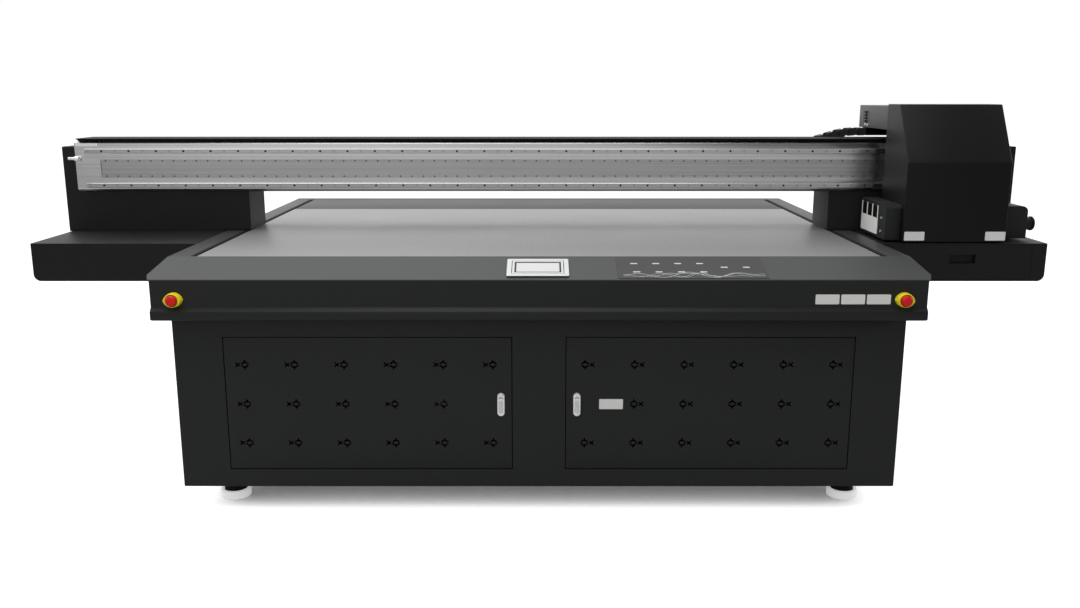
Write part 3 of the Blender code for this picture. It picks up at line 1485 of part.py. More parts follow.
def hood():
    """Carriage cover, open at the back and underneath."""
    outline = [
        (HOOD_FACE, HOOD_BOTTOM),
        (HOOD_FACE, HOOD_CREASE),
        (HOOD_FACE + HOOD_SLOPE_RUN, HOOD_TOP),
        (HOOD_REAR, HOOD_TOP),
        (HOOD_REAR, HOOD_BOTTOM),
    ]
    cover = prism("hood", outline, "x", HOOD_LEFT, HOOD_RIGHT)
    inside = [
        (HOOD_FACE + SHEET, HOOD_BOTTOM - 0.010),
        (HOOD_FACE + SHEET, HOOD_CREASE - SHEET * 0.3),
        (HOOD_FACE + HOOD_SLOPE_RUN + SHEET * 0.7, HOOD_TOP - SHEET),
        (HOOD_REAR + 0.010, HOOD_TOP - SHEET),
        (HOOD_REAR + 0.010, HOOD_BOTTOM - 0.010),
    ]
    room = prism("hood_room", inside, "x", HOOD_LEFT + SHEET, HOOD_RIGHT - SHEET)
    cut(cover, room)
    return finish(cover, "black")


def lamp(word):
    """UV lamp beside the hood, with its window underneath."""
    bottom = BED_TOP + LAMP_LIFT
    back = BEAM_FRONT - LAMP_BACK
    if word == "left":
        x = (HOOD_LEFT - TOUCH - LAMP_LEFT_WIDTH, HOOD_LEFT - TOUCH)
        front = HOOD_FACE + LAMP_LEFT_SET_BACK
        corner = arc((front + LAMP_ROUND, LAMP_TOP - LAMP_ROUND), LAMP_ROUND, 90, 180, 4)
        outline = [(front, bottom), (back, bottom), (back, LAMP_TOP)] + corner
        case = prism(f"lamp_{word}", outline, "x", *x)
    else:
        x = (HOOD_RIGHT + TOUCH, HOOD_RIGHT + TOUCH + LAMP_RIGHT_WIDTH)
        front = HOOD_FACE + LAMP_RIGHT_SET_BACK
        corner = arc((x[1] - LAMP_ROUND, LAMP_RIGHT_TOP - LAMP_ROUND), LAMP_ROUND, 0, 90, 4)
        outline = [(x[0], bottom), (x[1], bottom)] + corner + [(x[0], LAMP_RIGHT_TOP)]
        case = prism(f"lamp_{word}", outline, "y", front, back)
    window = box(
        f"lamp_window_{word}",
        (x[0] + 0.012, x[1] - 0.012),
        (front + 0.040, back - 0.030),
        (bottom - 0.010, bottom + 0.008),
    )
    cut(case, window)
    if word == "right":
        place = (x[1] - 0.005, front + 0.060, LAMP_RIGHT_TOP - 0.080)
        port = rod("lamp_port", LAMP_PORT_RADIUS, PORT_LENGTH + 0.005, place, SIDEWAYS, 16)
        weld(case, port)
    return finish(case, "black")


# ---------------------------------------------------------------- assembly
def build():
    clear_scene()
    base = group("base", (0, 0, 0))
    fixed = [machine_frame(), cabinet_shell(), front_apron(), console_panel(), rear_apron()]
    fixed += [vacuum_bed(), rear_deck(), vacuum_plenum(), vacuum_blower(), electrics_box()]
    fixed += [touch_screen(), key_panel()] + feet()
    gantry = group("gantry", (0, BEAM_FRONT, BEAM_BOTTOM), base)
    carried = [gantry_beam(), x_magnet_track(), chain_tray(), chain_lower(), ink_tanks()]
    carried += [x_rail("upper"), x_rail("lower")]
    for word, side in SIDES.items():
        fixed += [side_band(word), y_rail(word), y_magnet(word), estop_guard(word)]
        carried += [gantry_leg(word), y_truck(word), leg_shield(word), wing(word), end_buffer(word)]
        hinge = group(f"door_hinge_{word}", (side * DOOR_OUTER, CABINET_FRONT, 0), base)
        turn = group(f"handle_axis_{word}", handle_place(word), hinge)
        press = group(f"estop_axis_{word}", estop_place(word), base)
        attach(hinge, door(word))
        attach(turn, handle(word))
        attach(press, estop_button(word))
    attach(base, *fixed)
    attach(gantry, *carried)
    drawer_slide = group("drawer_slide", (0, WING_FACE, WING_BOTTOM), gantry)
    attach(drawer_slide, wing_drawer())
    cap_lift = group("cap_lift", (HOOD_MIDDLE, head_block_middle(), WING_BOTTOM), gantry)
    attach(cap_lift, capping_station())
    loop_slide = group("chain_slide", (CHAIN_LOOP_X, CHAIN_FRONT, LOOP_CENTRE_Z), gantry)
    attach(loop_slide, chain_loop())
    carriage = group("carriage", (HOOD_MIDDLE, RAIL_FACE, BEAM_BOTTOM), gantry)
    attach(carriage, carriage_plate(), x_truck("upper"), x_truck("lower"), rear_arm(), chain_upper())
    head = group("head", (HOOD_MIDDLE, HEAD_PLATE_BACK, HOOD_BOTTOM), carriage)
    attach(head, head_frame(), print_heads(), hood(), lamp("left"), lamp("right"))


build()
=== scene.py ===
"""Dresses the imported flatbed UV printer: finishes, small parts, floor, light and camera."""

import logging
import math
from collections.abc import Callable, Iterable, Sequence
from dataclasses import dataclass
from enum import Enum

import bmesh
import bpy
from mathutils import Matrix, Vector


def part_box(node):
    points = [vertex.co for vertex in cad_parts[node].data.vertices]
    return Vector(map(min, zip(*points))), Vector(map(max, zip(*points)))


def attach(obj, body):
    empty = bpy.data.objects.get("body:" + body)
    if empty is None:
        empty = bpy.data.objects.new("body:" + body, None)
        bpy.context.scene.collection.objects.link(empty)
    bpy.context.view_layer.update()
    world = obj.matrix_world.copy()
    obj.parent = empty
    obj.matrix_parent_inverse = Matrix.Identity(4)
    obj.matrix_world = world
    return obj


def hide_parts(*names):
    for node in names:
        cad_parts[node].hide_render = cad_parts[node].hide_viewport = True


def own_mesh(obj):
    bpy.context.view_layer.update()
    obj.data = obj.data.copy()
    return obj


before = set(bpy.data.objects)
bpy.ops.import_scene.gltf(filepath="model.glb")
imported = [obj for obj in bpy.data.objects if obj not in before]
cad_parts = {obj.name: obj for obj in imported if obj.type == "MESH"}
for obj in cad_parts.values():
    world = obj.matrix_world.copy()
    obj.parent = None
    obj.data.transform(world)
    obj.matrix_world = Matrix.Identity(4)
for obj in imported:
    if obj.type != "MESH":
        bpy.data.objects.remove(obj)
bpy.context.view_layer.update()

LOG = logging.getLogger("printer")
Colour = tuple[float, float, float]
Point = tuple[float, float, float]
Flat = tuple[float, float]

SIDES = {"left": -1, "right": 1}
SKIN = 0.0002  # how far a print or a film stands off its cover
MICRON = 1e-6
NEARLY = 50 * MICRON  # how close a corner is to its node's end
BROAD = 0.012  # narrowest face that counts as broad
FOLD_ANGLE = 24.0  # smallest angle, in degrees, that counts as a fold
APRON_STEP = 0.014  # apron's face behind its foremost edge


# ---------------------------------------------------------------- trees and finishes
def linear(colour: Colour) -> tuple[float, float, float, float]:
    """Turns a display colour from 0 to 1 into the shader's linear colour.

    Args:
        colour: Red, green and blue as a screen shows them.

    Returns:
        The linear colour, with full alpha.
    """
    return (*(c / 12.92 if c <= 0.04045 else ((c + 0.055) / 1.055) ** 2.4 for c in colour), 1.0)


class Bench:
    """Lays nodes in one tree and joins them up."""

    def __init__(self, tree: bpy.types.NodeTree) -> None:
        """Keeps the tree.

        Args:
            tree: Shader or geometry tree to work in.
        """
        self.tree = tree

    def add(
        self, kind: str, inputs: dict[str | int, object] | None = None, **settings: object
    ) -> bpy.types.Node:
        """Adds a node, sets it up and joins its inputs.

        Args:
            kind: Blender's name for the node type.
            inputs: For each input's name or number, a value or the socket that feeds it.
            settings: The node's own options.

        Returns:
            The new node.
        """
        node = self.tree.nodes.new(kind)
        for key, value in settings.items():
            setattr(node, key, value)
        for key, value in (inputs or {}).items():
            if isinstance(value, bpy.types.NodeSocket):
                self.tree.links.new(value, node.inputs[key])
            else:
                node.inputs[key].default_value = value
        return node

    def maths(self, operation: str, first: object, second: object = 0.0) -> bpy.types.NodeSocket:
        """Adds a Math node.

        Args:
            operation: The sum it does.
            first: First value or socket.
            second: Second value or socket.

        Returns:
            The result's socket.
        """
        node = self.add("ShaderNodeMath", {0: first, 1: second}, operation=operation)
        return node.outputs[0]

    def blend(self, factor: object, first: object, second: object) -> bpy.types.NodeSocket:
        """Mixes two colours.

        Args:
            factor: Share of the second colour.
            first: First colour or socket.
            second: Second colour or socket.

        Returns:
            The mixed colour's socket.
        """
        node = self.add("ShaderNodeMix", data_type="RGBA")
        for socket, value in ((node.inputs[0], factor), (node.inputs[6], first), (node.inputs[7], second)):
            if isinstance(value, bpy.types.NodeSocket):
                self.tree.links.new(value, socket)
            else:
                socket.default_value = value
        return node.outputs[2]


def group(
    name: str,
    inputs: dict[str, tuple[str, object]],
    outputs: dict[str, str],
    fill: Callable[[Bench, bpy.types.NodeOutputs, bpy.types.NodeInputs], None],
) -> bpy.types.NodeTree:
    """Builds a shader node group once and gives it back after that.

    Args:
        name: The group's name.
        inputs: Socket type and default of each input.
        outputs: Socket type of each output.
        fill: Lays the nodes between the group's two ends.

    Returns:
        The group.
    """
    found = bpy.data.node_groups.get(name)
    if found:
        return found
    tree = bpy.data.node_groups.new(name, "ShaderNodeTree")
    for label, (kind, default) in inputs.items():
        socket = tree.interface.new_socket(label, in_out="INPUT", socket_type=f"NodeSocket{kind}")
        socket.default_value = default
    for label, kind in outputs.items():
        tree.interface.new_socket(label, in_out="OUTPUT", socket_type=f"NodeSocket{kind}")
    bench = Bench(tree)
    start, end = bench.add("NodeGroupInput"), bench.add("NodeGroupOutput")
    fill(bench, start.outputs, end.inputs)
    return tree


def surface_place(bench: Bench, stretch: object) -> bpy.types.NodeSocket:
    """Object coordinates, scaled by a vector.

    Args:
        bench: Tree to work in.
        stretch: Scale along each axis, or its socket.

    Returns:
        The scaled place's socket.
    """
    place = bench.add("ShaderNodeTexCoord").outputs["Object"]
    scaled = bench.add("ShaderNodeVectorMath", {0: place, 1: stretch}, operation="MULTIPLY")
    return scaled.outputs[0]


def pebble_group() -> bpy.types.NodeTree:
    """Orange peel of powder coat or moulded plastic: a height over the surface.

    Returns:
        The group, with inputs Size and Roundness, and output Height.
    """

    def fill(bench: Bench, given: bpy.types.NodeOutputs, made: bpy.types.NodeInputs) -> None:
        """Mixes two sizes of soft pebble."""
        per_metre = bench.maths("DIVIDE", 1.0, given["Size"])
        place = surface_place(bench, (1.0, 1.0, 1.0))
        coarse = bench.add("ShaderNodeTexVoronoi", {"Vector": place, "Scale": per_metre}, feature="SMOOTH_F1")
        double = bench.maths("MULTIPLY", per_metre, 2.3)
        fine = bench.add("ShaderNodeTexNoise", {"Vector": place, "Scale": double, "Detail": 2.0})
        mixed = bench.add(
            "ShaderNodeMix",
            {0: given["Roundness"], 2: fine.outputs[0], 3: coarse.outputs["Distance"]},
            data_type="FLOAT",
        )
        bench.tree.links.new(mixed.outputs[0], made["Height"])

    return group(
        "pebble grain", {"Size": ("Float", 0.001), "Roundness": ("Float", 0.5)}, {"Height": "Float"}, fill
    )


def brushed_group() -> bpy.types.NodeTree:
    """Long fine lines of drawn, ground or brushed metal.

    Returns:
        The group, with input Lines (per metre along each axis), and outputs Height and Streak.
    """

    def fill(bench: Bench, given: bpy.types.NodeOutputs, made: bpy.types.NodeInputs) -> None:
        """Stretches two noises along the lines."""
        place = surface_place(bench, given["Lines"])
        lines = bench.add("ShaderNodeTexNoise", {"Vector": place, "Scale": 1.0, "Detail": 3.0})
        wide = bench.add("ShaderNodeTexNoise", {"Vector": place, "Scale": 0.17, "Detail": 1.0})
        streak = bench.maths("ADD", lines.outputs[0], wide.outputs[0])
        bench.tree.links.new(lines.outputs[0], made["Height"])
        bench.tree.links.new(bench.maths("MULTIPLY", streak, 0.5), made["Streak"])

    return group(
        "brushed lines", {"Lines": ("Vector", (2.0, 900.0, 900.0))}, {"Height": "Float", "Streak": "Float"}, fill
    )


def wear_group() -> bpy.types.NodeTree:
    """Faint handling marks and settled dust, which change colour and roughness.

    Returns:
        The group, with inputs Colour, Dust, Level and Smudge, and outputs Colour and Roughness.
    """

    def fill(bench: Bench, given: bpy.types.NodeOutputs, made: bpy.types.NodeInputs) -> None:
        """Lays a broad cloud, a fine speckle and dust on upward faces."""
        place = surface_place(bench, (1.0, 1.0, 1.0))
        cloud = bench.add("ShaderNodeTexNoise", {"Vector": place, "Scale": 3.1, "Detail": 4.0}).outputs[0]
        speck = bench.add("ShaderNodeTexNoise", {"Vector": place, "Scale": 210.0, "Detail": 2.0}).outputs[0]
        up = bench.add("ShaderNodeSeparateXYZ", {0: bench.add("ShaderNodeTexCoord").outputs["Normal"]})
        facing = bench.maths("MAXIMUM", up.outputs[2], 0.12)
        patch = bench.add("ShaderNodeMapRange", {0: cloud, 1: 0.35, 2: 0.75, 3: 0.25, 4: 1.0}).outputs[0]
        grit = bench.add("ShaderNodeMapRange", {0: speck, 1: 0.4, 2: 0.8, 3: 0.5, 4: 1.6}).outputs[0]
        dust = bench.maths("MULTIPLY", bench.maths("MULTIPLY", patch, grit), facing)
        share = bench.maths("MULTIPLY", dust, given["Dust"])
        settled = bench.blend(share, given["Colour"], linear((0.62, 0.60, 0.57)))
        bench.tree.links.new(settled, made["Colour"])
        swing = bench.maths("MULTIPLY", bench.maths("SUBTRACT", cloud, 0.5), given["Smudge"])
        rough = bench.add("ShaderNodeMath", {0: given["Level"], 1: swing}, operation="ADD", use_clamp=True)
        bench.tree.links.new(rough.outputs[0], made["Roughness"])

    return group(
        "dust and handling",
        {
            "Colour": ("Color", (0.5, 0.5, 0.5, 1.0)),
            "Dust": ("Float", 0.02),
            "Level": ("Float", 0.4),
            "Smudge": ("Float", 0.2),
        },
        {"Colour": "Color", "Roughness": "Float"},
        fill,
    )


class Grain(Enum):
    """What the surface is like close up."""

    PEBBLED = "powder coat or moulding"
    BRUSHED_X = "lines along X"
    BRUSHED_Y = "lines along Y"
    BRUSHED_Z = "lines along Z"


LINES = {
    Grain.BRUSHED_X: (1.5, 1100.0, 1100.0),
    Grain.BRUSHED_Y: (1100.0, 1.5, 1100.0),
    Grain.BRUSHED_Z: (1100.0, 1100.0, 1.5),
}


@dataclass(frozen=True)
class Finish:
    """One finish: its colours, its gloss and its grain."""

    name: str
    colour: Colour
    roughness: float
    grain: Grain = Grain.PEBBLED
    grain_size: float = 0.0016
    relief: float = 0.00005
    metallic: float = 0.0
    specular: float = 0.5
    dust: float = 0.02
    smudge: float = 0.12
    streak: float = 0.35
    glow: float = 0.0

    def material(self) -> bpy.types.Material:
        """The finish as a material, built the first time it is asked for.

        Returns:
            The material.
        """
        found = bpy.data.materials.get(self.name)
        if found:
            return found
        material = bpy.data.materials.new(self.name)
        material.use_nodes = True
        material.diffuse_color = linear(self.colour)
        bench = Bench(material.node_tree)
        shader = material.node_tree.nodes["Principled BSDF"]
        colour, height = self._skin(bench)
        wear = bench.add("ShaderNodeGroup", node_tree=wear_group())
        for label, value in (("Dust", self.dust), ("Level", self.roughness), ("Smudge", self.smudge)):
            wear.inputs[label].default_value = value
        links = bench.tree.links
        links.new(colour, wear.inputs["Colour"])
        bump = bench.add("ShaderNodeBump", {"Height": height, "Strength": 1.0, "Distance": self.relief})
        links.new(wear.outputs["Colour"], shader.inputs["Base Color"])
        links.new(wear.outputs["Roughness"], shader.inputs["Roughness"])
        links.new(bump.outputs[0], shader.inputs["Normal"])
        shader.inputs["Metallic"].default_value = self.metallic
        shader.inputs["Specular IOR Level"].default_value = self.specular
        if self.glow:
            links.new(wear.outputs["Colour"], shader.inputs["Emission Color"])
            shader.inputs["Emission Strength"].default_value = self.glow
        return material

    def _skin(self, bench: Bench) -> tuple[bpy.types.NodeSocket, bpy.types.NodeSocket]:
        """Lays the grain.

        Args:
            bench: The material's tree.

        Returns:
            The colour before dust, and the grain's height.
        """
        if self.grain is Grain.PEBBLED:
            grain = bench.add("ShaderNodeGroup", node_tree=pebble_group())
            grain.inputs["Size"].default_value = self.grain_size
            height = grain.outputs["Height"]
            shade = bench.add("ShaderNodeMapRange", {0: height, 1: 0.2, 2: 0.8, 3: 0.0, 4: 1.0}).outputs[0]
            deep = linear(tuple(c * 0.94 for c in self.colour))
            return bench.blend(shade, deep, linear(tuple(min(1.0, c * 1.04) for c in self.colour))), height
        grain = bench.add("ShaderNodeGroup", node_tree=brushed_group())
        grain.inputs["Lines"].default_value = LINES[self.grain]
        low = linear(tuple(c * (1.0 - 0.3 * self.streak) for c in self.colour))
        high = linear(tuple(min(1.0, c * (1.0 + 0.2 * self.streak)) for c in self.colour))
        shade = bench.add("ShaderNodeMapRange", {0: grain.outputs["Streak"], 1: 0.3, 2: 0.7, 3: 0.0, 4: 1.0})
        return bench.blend(shade.outputs[0], low, high), grain.outputs["Height"]


BLACK = Finish("black powder coat", (0.125, 0.13, 0.13), 0.44, specular=0.25)
COVER_BLACK = Finish("gantry cover powder coat", (0.100, 0.103, 0.103), 0.46, specular=0.20)
TRAY_BLACK = Finish("matt black tray paint", (0.06, 0.06, 0.06), 0.60, specular=0.10)
HOOD_BLACK = Finish("deep black powder coat", (0.066, 0.067, 0.067), 0.40, specular=0.20)
# The arm's lighter grey paints the light falling on its top; its lower faces take matt black as painted shade.
LIT_ARM_GREY = Finish("arm powder coat", (0.29, 0.295, 0.295), 0.46, specular=0.35, dust=0.03)
CHARCOAL = Finish("charcoal powder coat", (0.218, 0.223, 0.228), 0.44, specular=0.34, dust=0.03)
DECK_GREY = Finish("grey powder coat", (0.262, 0.267, 0.272), 0.50, specular=0.30, dust=0.03)
ANODISED = Finish(
    "hard anodised bed", (0.556, 0.556, 0.556), 0.42, Grain.BRUSHED_X, relief=0.00002, metallic=0.30, streak=0.08
)
BEAM_METAL = Finish(
    "brushed beam aluminium", (0.93, 0.93, 0.93), 0.24, Grain.BRUSHED_X, relief=0.00001, metallic=1.0,
    streak=0.3, smudge=0.05,
)
RAIL_METAL = Finish(
    "ground rail steel", (0.85, 0.85, 0.85), 0.20, Grain.BRUSHED_X, relief=0.00001, metallic=1.0,
    streak=0.3, smudge=0.05,
)
SIDE_RAIL_METAL = Finish(
    "ground guide steel", (0.74, 0.74, 0.745), 0.24, Grain.BRUSHED_Y, relief=0.00001, metallic=1.0, streak=0.3
)
TRACK_METAL = Finish(
    "magnet cover steel", (0.79, 0.79, 0.79), 0.26, Grain.BRUSHED_X, relief=0.00001, metallic=1.0,
    streak=0.35, smudge=0.05,
)
FRAME_PAINT = Finish("frame primer", (0.16, 0.16, 0.17), 0.60, specular=0.3, dust=0.05)
ALLOY = Finish("milled aluminium", (0.62, 0.62, 0.63), 0.40, Grain.BRUSHED_Z, metallic=1.0, streak=0.3)
DARK_ALLOY = Finish("black anodised alloy", (0.12, 0.12, 0.12), 0.50, Grain.BRUSHED_Z, metallic=0.5, streak=0.2)
BOLT = Finish("black oxide screw", (0.10, 0.10, 0.105), 0.45, metallic=0.6, specular=0.4)
BRIGHT_BOLT = Finish("zinc screw", (0.85, 0.85, 0.86), 0.28, metallic=0.9)
CHROME = Finish("satin chrome", (0.985, 0.985, 0.985), 0.30, Grain.BRUSHED_Z, metallic=0.45, streak=0.12, dust=0.01)
INLAY = Finish("grey handle inlay", (0.86, 0.86, 0.865), 0.40, grain_size=0.0008, relief=0.00002, metallic=0.3)
PLASTIC = Finish("black moulded plastic", (0.10, 0.10, 0.105), 0.55, grain_size=0.0009, relief=0.00008)
CHAIN_PLASTIC = Finish("chain nylon", (0.12, 0.12, 0.125), 0.50, grain_size=0.0012, relief=0.00006)
RUBBER = Finish("rubber", (0.07, 0.07, 0.07), 0.75, grain_size=0.0012, relief=0.0001, specular=0.2, dust=0.02)
RED = Finish("red button plastic", (0.84, 0.06, 0.06), 0.34, grain_size=0.0008, relief=0.00002, specular=0.35)
YELLOW = Finish("yellow guard plastic", (0.93, 0.86, 0.13), 0.45, grain_size=0.0008, relief=0.00003, specular=0.3)
# The feet's finish glows: painted light that brightens the pads in the shade under the cabinet.
GLOWING_FOOT_WHITE = Finish("white foot rubber", (0.95, 0.95, 0.94), 0.6, grain_size=0.0010, relief=0.00004, glow=0.45)
WHITE = Finish("pale grey plastic", (0.90, 0.90, 0.89), 0.48, grain_size=0.0010, relief=0.00004)
BEZEL = Finish("silver bezel paint", (0.83, 0.835, 0.835), 0.36, grain_size=0.0006, relief=0.00001, metallic=0.2)
GLASS = Finish("pale screen glass", (0.80, 0.80, 0.80), 0.10, relief=0.0, smudge=0.15, glow=0.05)
SEAL = Finish("screen seal", (0.16, 0.16, 0.17), 0.6, grain_size=0.0006, relief=0.00002)
FILM = Finish("key film", (0.157, 0.160, 0.164), 0.40, grain_size=0.0005, relief=0.00001, specular=0.35)
INK_PRINT = Finish("pale print", (0.80, 0.80, 0.80), 0.50, grain_size=0.0005, relief=0.00001)
PLATE = Finish("label plate", (0.88, 0.88, 0.87), 0.45, grain_size=0.0006, relief=0.00001)
ENCLOSURE = Finish("enclosure paint", (0.84, 0.84, 0.83), 0.45)
# Near-black finish for slot walls, suction holes and lamp slots: painted shade of hollows.
DARK = Finish("dark hollow", (0.03, 0.03, 0.03), 0.80, specular=0.1, dust=0.0)


# ---------------------------------------------------------------- shaping
def to_object(name: str, bm: bmesh.types.BMesh, outward: bool = True) -> bpy.types.Object:
    """Makes an object of a bmesh and frees it.

    Args:
        name: The piece's name.
        bm: The shape.
        outward: True to turn all its faces outwards.

    Returns:
        The new object, linked to the scene.
    """
    if outward:
        bmesh.ops.remove_doubles(bm, verts=bm.verts, dist=MICRON)
        bmesh.ops.recalc_face_normals(bm, faces=bm.faces[:])
    mesh = bpy.data.meshes.new(name)
    bm.to_mesh(mesh)
    bm.free()
    piece = bpy.data.objects.new(name, mesh)
    bpy.context.scene.collection.objects.link(piece)
    return piece


def soften(piece: bpy.types.Object, degrees: float = 32.0) -> bpy.types.Object:
    """Shades a piece smooth, with its sharper edges kept.

    Args:
        piece: The piece.
        degrees: Edges sharper than this stay sharp.

    Returns:
        The same piece.
    """
    piece.data.shade_smooth()
    piece.data.set_sharp_from_angle(angle=math.radians(degrees))
    return piece


def add_block(bm: bmesh.types.BMesh, low: Sequence[float], high: Sequence[float], radius: float = 0.0) -> None:
    """Adds a block with rounded edges.

    Args:
        bm: Shape to add to.
        low: Lowest corner.
        high: Highest corner.
        radius: Size of the round on every edge, or 0 for none.
    """
    part = bmesh.new()
    bmesh.ops.create_cube(part, size=1.0)
    size = [h - l for l, h in zip(low, high)]
    middle = [(h + l) / 2 for l, h in zip(low, high)]
    bmesh.ops.scale(part, vec=size, verts=part.verts)
    bmesh.ops.translate(part, vec=middle, verts=part.verts)
    if radius:
        bmesh.ops.bevel(part, geom=part.edges[:], offset=radius, segments=3, profile=0.5, affect="EDGES")
    join(bm, part)


def join(bm: bmesh.types.BMesh, part: bmesh.types.BMesh) -> None:
    """Adds one bmesh to another and frees it.

    Args:
        bm: Shape to add to.
        part: Shape that is added.
    """
    mesh = bpy.data.meshes.new("part")
    part.to_mesh(mesh)
    part.free()
    bm.from_mesh(mesh)
    bpy.data.meshes.remove(mesh)


def bridge(
    bm: bmesh.types.BMesh, rings: Sequence[Sequence[bmesh.types.BMVert]], closed: bool = False
) -> None:
    """Joins rings that have the same number of corners.

    Args:
        bm: Shape to add to.
        rings: The rings, in order.
        closed: True to join the last ring to the first as well.
    """
    for one, two in zip(rings, [*rings[1:], rings[0]] if closed else rings[1:]):
        for i in range(len(one)):
            j = (i + 1) % len(one)
            bm.faces.new((one[i], one[j], two[j], two[i]))


def add_loft(
    bm: bmesh.types.BMesh,
    sections: Iterable[tuple[Sequence[Flat], float]],
    place: Callable[[float, float, float], Sequence[float]],
    closed: bool = False,
) -> None:
    """Adds a shape that runs through outlines with the same number of corners.

    Args:
        bm: Shape to add to.
        sections: Each outline with its depth, in order.
        place: Turns two plane coordinates and a depth into a point.
        closed: True for a loop that ends where it starts, or else both ends are capped.
    """
    rings = [[bm.verts.new(place(a, b, depth)) for a, b in outline] for outline, depth in sections]
    if not closed:
        bm.faces.new(rings[0])
        bm.faces.new(rings[-1])
    bridge(bm, rings, closed)


def add_slab(
    bm: bmesh.types.BMesh,
    outline: Sequence[Flat],
    place: Callable[[float, float, float], Sequence[float]],
    near: float,
    far: float,
) -> None:
    """Adds an outline given thickness.

    Args:
        bm: Shape to add to.
        outline: Corners in the plane, in order.
        place: Turns two plane coordinates and a depth into a point.
        near: First depth.
        far: Second depth.
    """
    add_loft(bm, ((outline, near), (outline, far)), place)


def front(a: float, b: float, depth: float) -> Point:
    """Place on a face that looks along -Y: across, up and depth."""
    return (a, depth, b)


def sideways(a: float, b: float, depth: float) -> Point:
    """Place on a face that looks along X: along Y, up and depth in X."""
    return (depth, a, b)


def add_turned(
    bm: bmesh.types.BMesh,
    profile: Sequence[Flat],
    place: Sequence[float],
    axis: Sequence[float],
    sides: int = 32,
) -> None:
    """Adds a shape turned about an axis, closed at both ends.

    Args:
        bm: Shape to add to.
        profile: Radius and distance along the axis, in order; a radius of 0 is a pole.
        place: Where the axis starts.
        axis: The axis.
        sides: Number of sides.
    """
    turn = Vector(axis).to_track_quat("Z", "Y").to_matrix()
    origin = Vector(place)
    rings = []
    for radius, along in profile:
        if radius == 0:
            rings.append([bm.verts.new(origin + turn @ Vector((0, 0, along)))])
            continue
        ring = []
        for i in range(sides):
            angle = math.tau * i / sides
            point = Vector((radius * math.cos(angle), radius * math.sin(angle), along))
            ring.append(bm.verts.new(origin + turn @ point))
        rings.append(ring)
    for one, two in zip(rings, rings[1:]):
        for i in range(sides):
            j = (i + 1) % sides
            corners = [one[i % len(one)], one[j % len(one)], two[j % len(two)], two[i % len(two)]]
            unique = list(dict.fromkeys(corners))
            if len(unique) > 2:
                bm.faces.new(unique)
    for ring in (rings[0], rings[-1]):
        if len(ring) > 1:
            bm.faces.new(ring)


def add_ring(
    bm: bmesh.types.BMesh, profile: Sequence[Flat], place: Sequence[float], axis: Sequence[float], sides: int = 32
) -> None:
    """Adds a turned ring whose profile closes on itself.

    Args:
        bm: Shape to add to.
        profile: Radius and distance along the axis of each corner.
        place: Where the axis starts.
        axis: The axis.
        sides: Number of sides.
    """
    turn = Vector(axis).to_track_quat("Z", "Y").to_matrix()
    loops = []
    for i in range(sides):
        angle = math.tau * i / sides
        spoke = [Vector((r * math.cos(angle), r * math.sin(angle), along)) for r, along in profile]
        loops.append([bm.verts.new(Vector(place) + turn @ corner) for corner in spoke])
    bridge(bm, loops, closed=True)


def pill(middle: Flat, width: float, height: float, steps: int = 8) -> list[Flat]:
    """Outline of a bar with round ends.

    Args:
        middle: Its middle.
        width: Size across.
        height: Size up.
        steps: Number of steps round each end.

    Returns:
        The outline's corners in order.
    """
    radius = min(width, height) / 2
    reach_a, reach_b = width / 2 - radius, height / 2 - radius
    points = []
    for i in range(4 * steps):
        angle = math.tau * (i + 0.5) / (4 * steps)
        a, b = math.cos(angle), math.sin(angle)
        points.append((
            middle[0] + math.copysign(reach_a, a) + radius * a,
            middle[1] + math.copysign(reach_b, b) + radius * b,
        ))
    return points


def rounded_outline(low: Flat, high: Flat, radius: float, steps: int = 4) -> list[Flat]:
    """Outline of a rectangle with round corners.

    Args:
        low: Lowest corner.
        high: Highest corner.
        radius: The corners' radius.
        steps: Number of steps round each corner.

    Returns:
        The outline's corners in order.
    """
    points = []
    corners = ((high[0], high[1], 0), (low[0], high[1], 90), (low[0], low[1], 180), (high[0], low[1], 270))
    for a, b, start in corners:
        centre_a = a - math.copysign(radius, a - (low[0] + high[0]) / 2)
        centre_b = b - math.copysign(radius, b - (low[1] + high[1]) / 2)
        for i in range(steps + 1):
            angle = math.radians(start + 90 * i / steps)
            points.append((centre_a + radius * math.cos(angle), centre_b + radius * math.sin(angle)))
    return points


def frozen(piece: bpy.types.Object) -> bpy.types.Object:
    """Applies a piece's modifiers.

    Args:
        piece: The piece.

    Returns:
        The same piece with a plain mesh.
    """
    bpy.context.view_layer.update()
    evaluated = piece.evaluated_get(bpy.context.evaluated_depsgraph_get())
    mesh = bpy.data.meshes.new_from_object(evaluated)
    mesh.name = piece.name
    piece.modifiers.clear()
    piece.data = mesh
    return piece


def carve(piece: bpy.types.Object, cutter: bpy.types.Object) -> None:
    """Cuts one shape out of a piece, then throws the cutter away.

    Args:
        piece: The piece.
        cutter: What is cut away.
    """
    modifier = piece.modifiers.new("cut", "BOOLEAN")
    modifier.operation = "DIFFERENCE"
    modifier.solver = "EXACT"
    modifier.object = cutter
    frozen(piece)
    bpy.data.objects.remove(cutter)
    piece.data.materials.clear()


def face_breadth(face: bmesh.types.BMFace) -> float:
    """How wide a face is across its longest run."""
    corners = [v.co for v in face.verts]
    reach = max((a - b).length for a in corners for b in corners[:8])
    return face.calc_area() / max(reach, MICRON)


def merged(node: str) -> bmesh.types.BMesh:
    """A CAD node's shape as joined flat faces.

    Args:
        node: The CAD node.

    Returns:
        The shape.
    """
    bm = bmesh.new()
    bm.from_mesh(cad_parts[node].data)
    bmesh.ops.remove_doubles(bm, verts=bm.verts, dist=2e-5)
    bmesh.ops.dissolve_limit(bm, angle_limit=math.radians(0.6), verts=bm.verts, edges=bm.edges)
    return bm


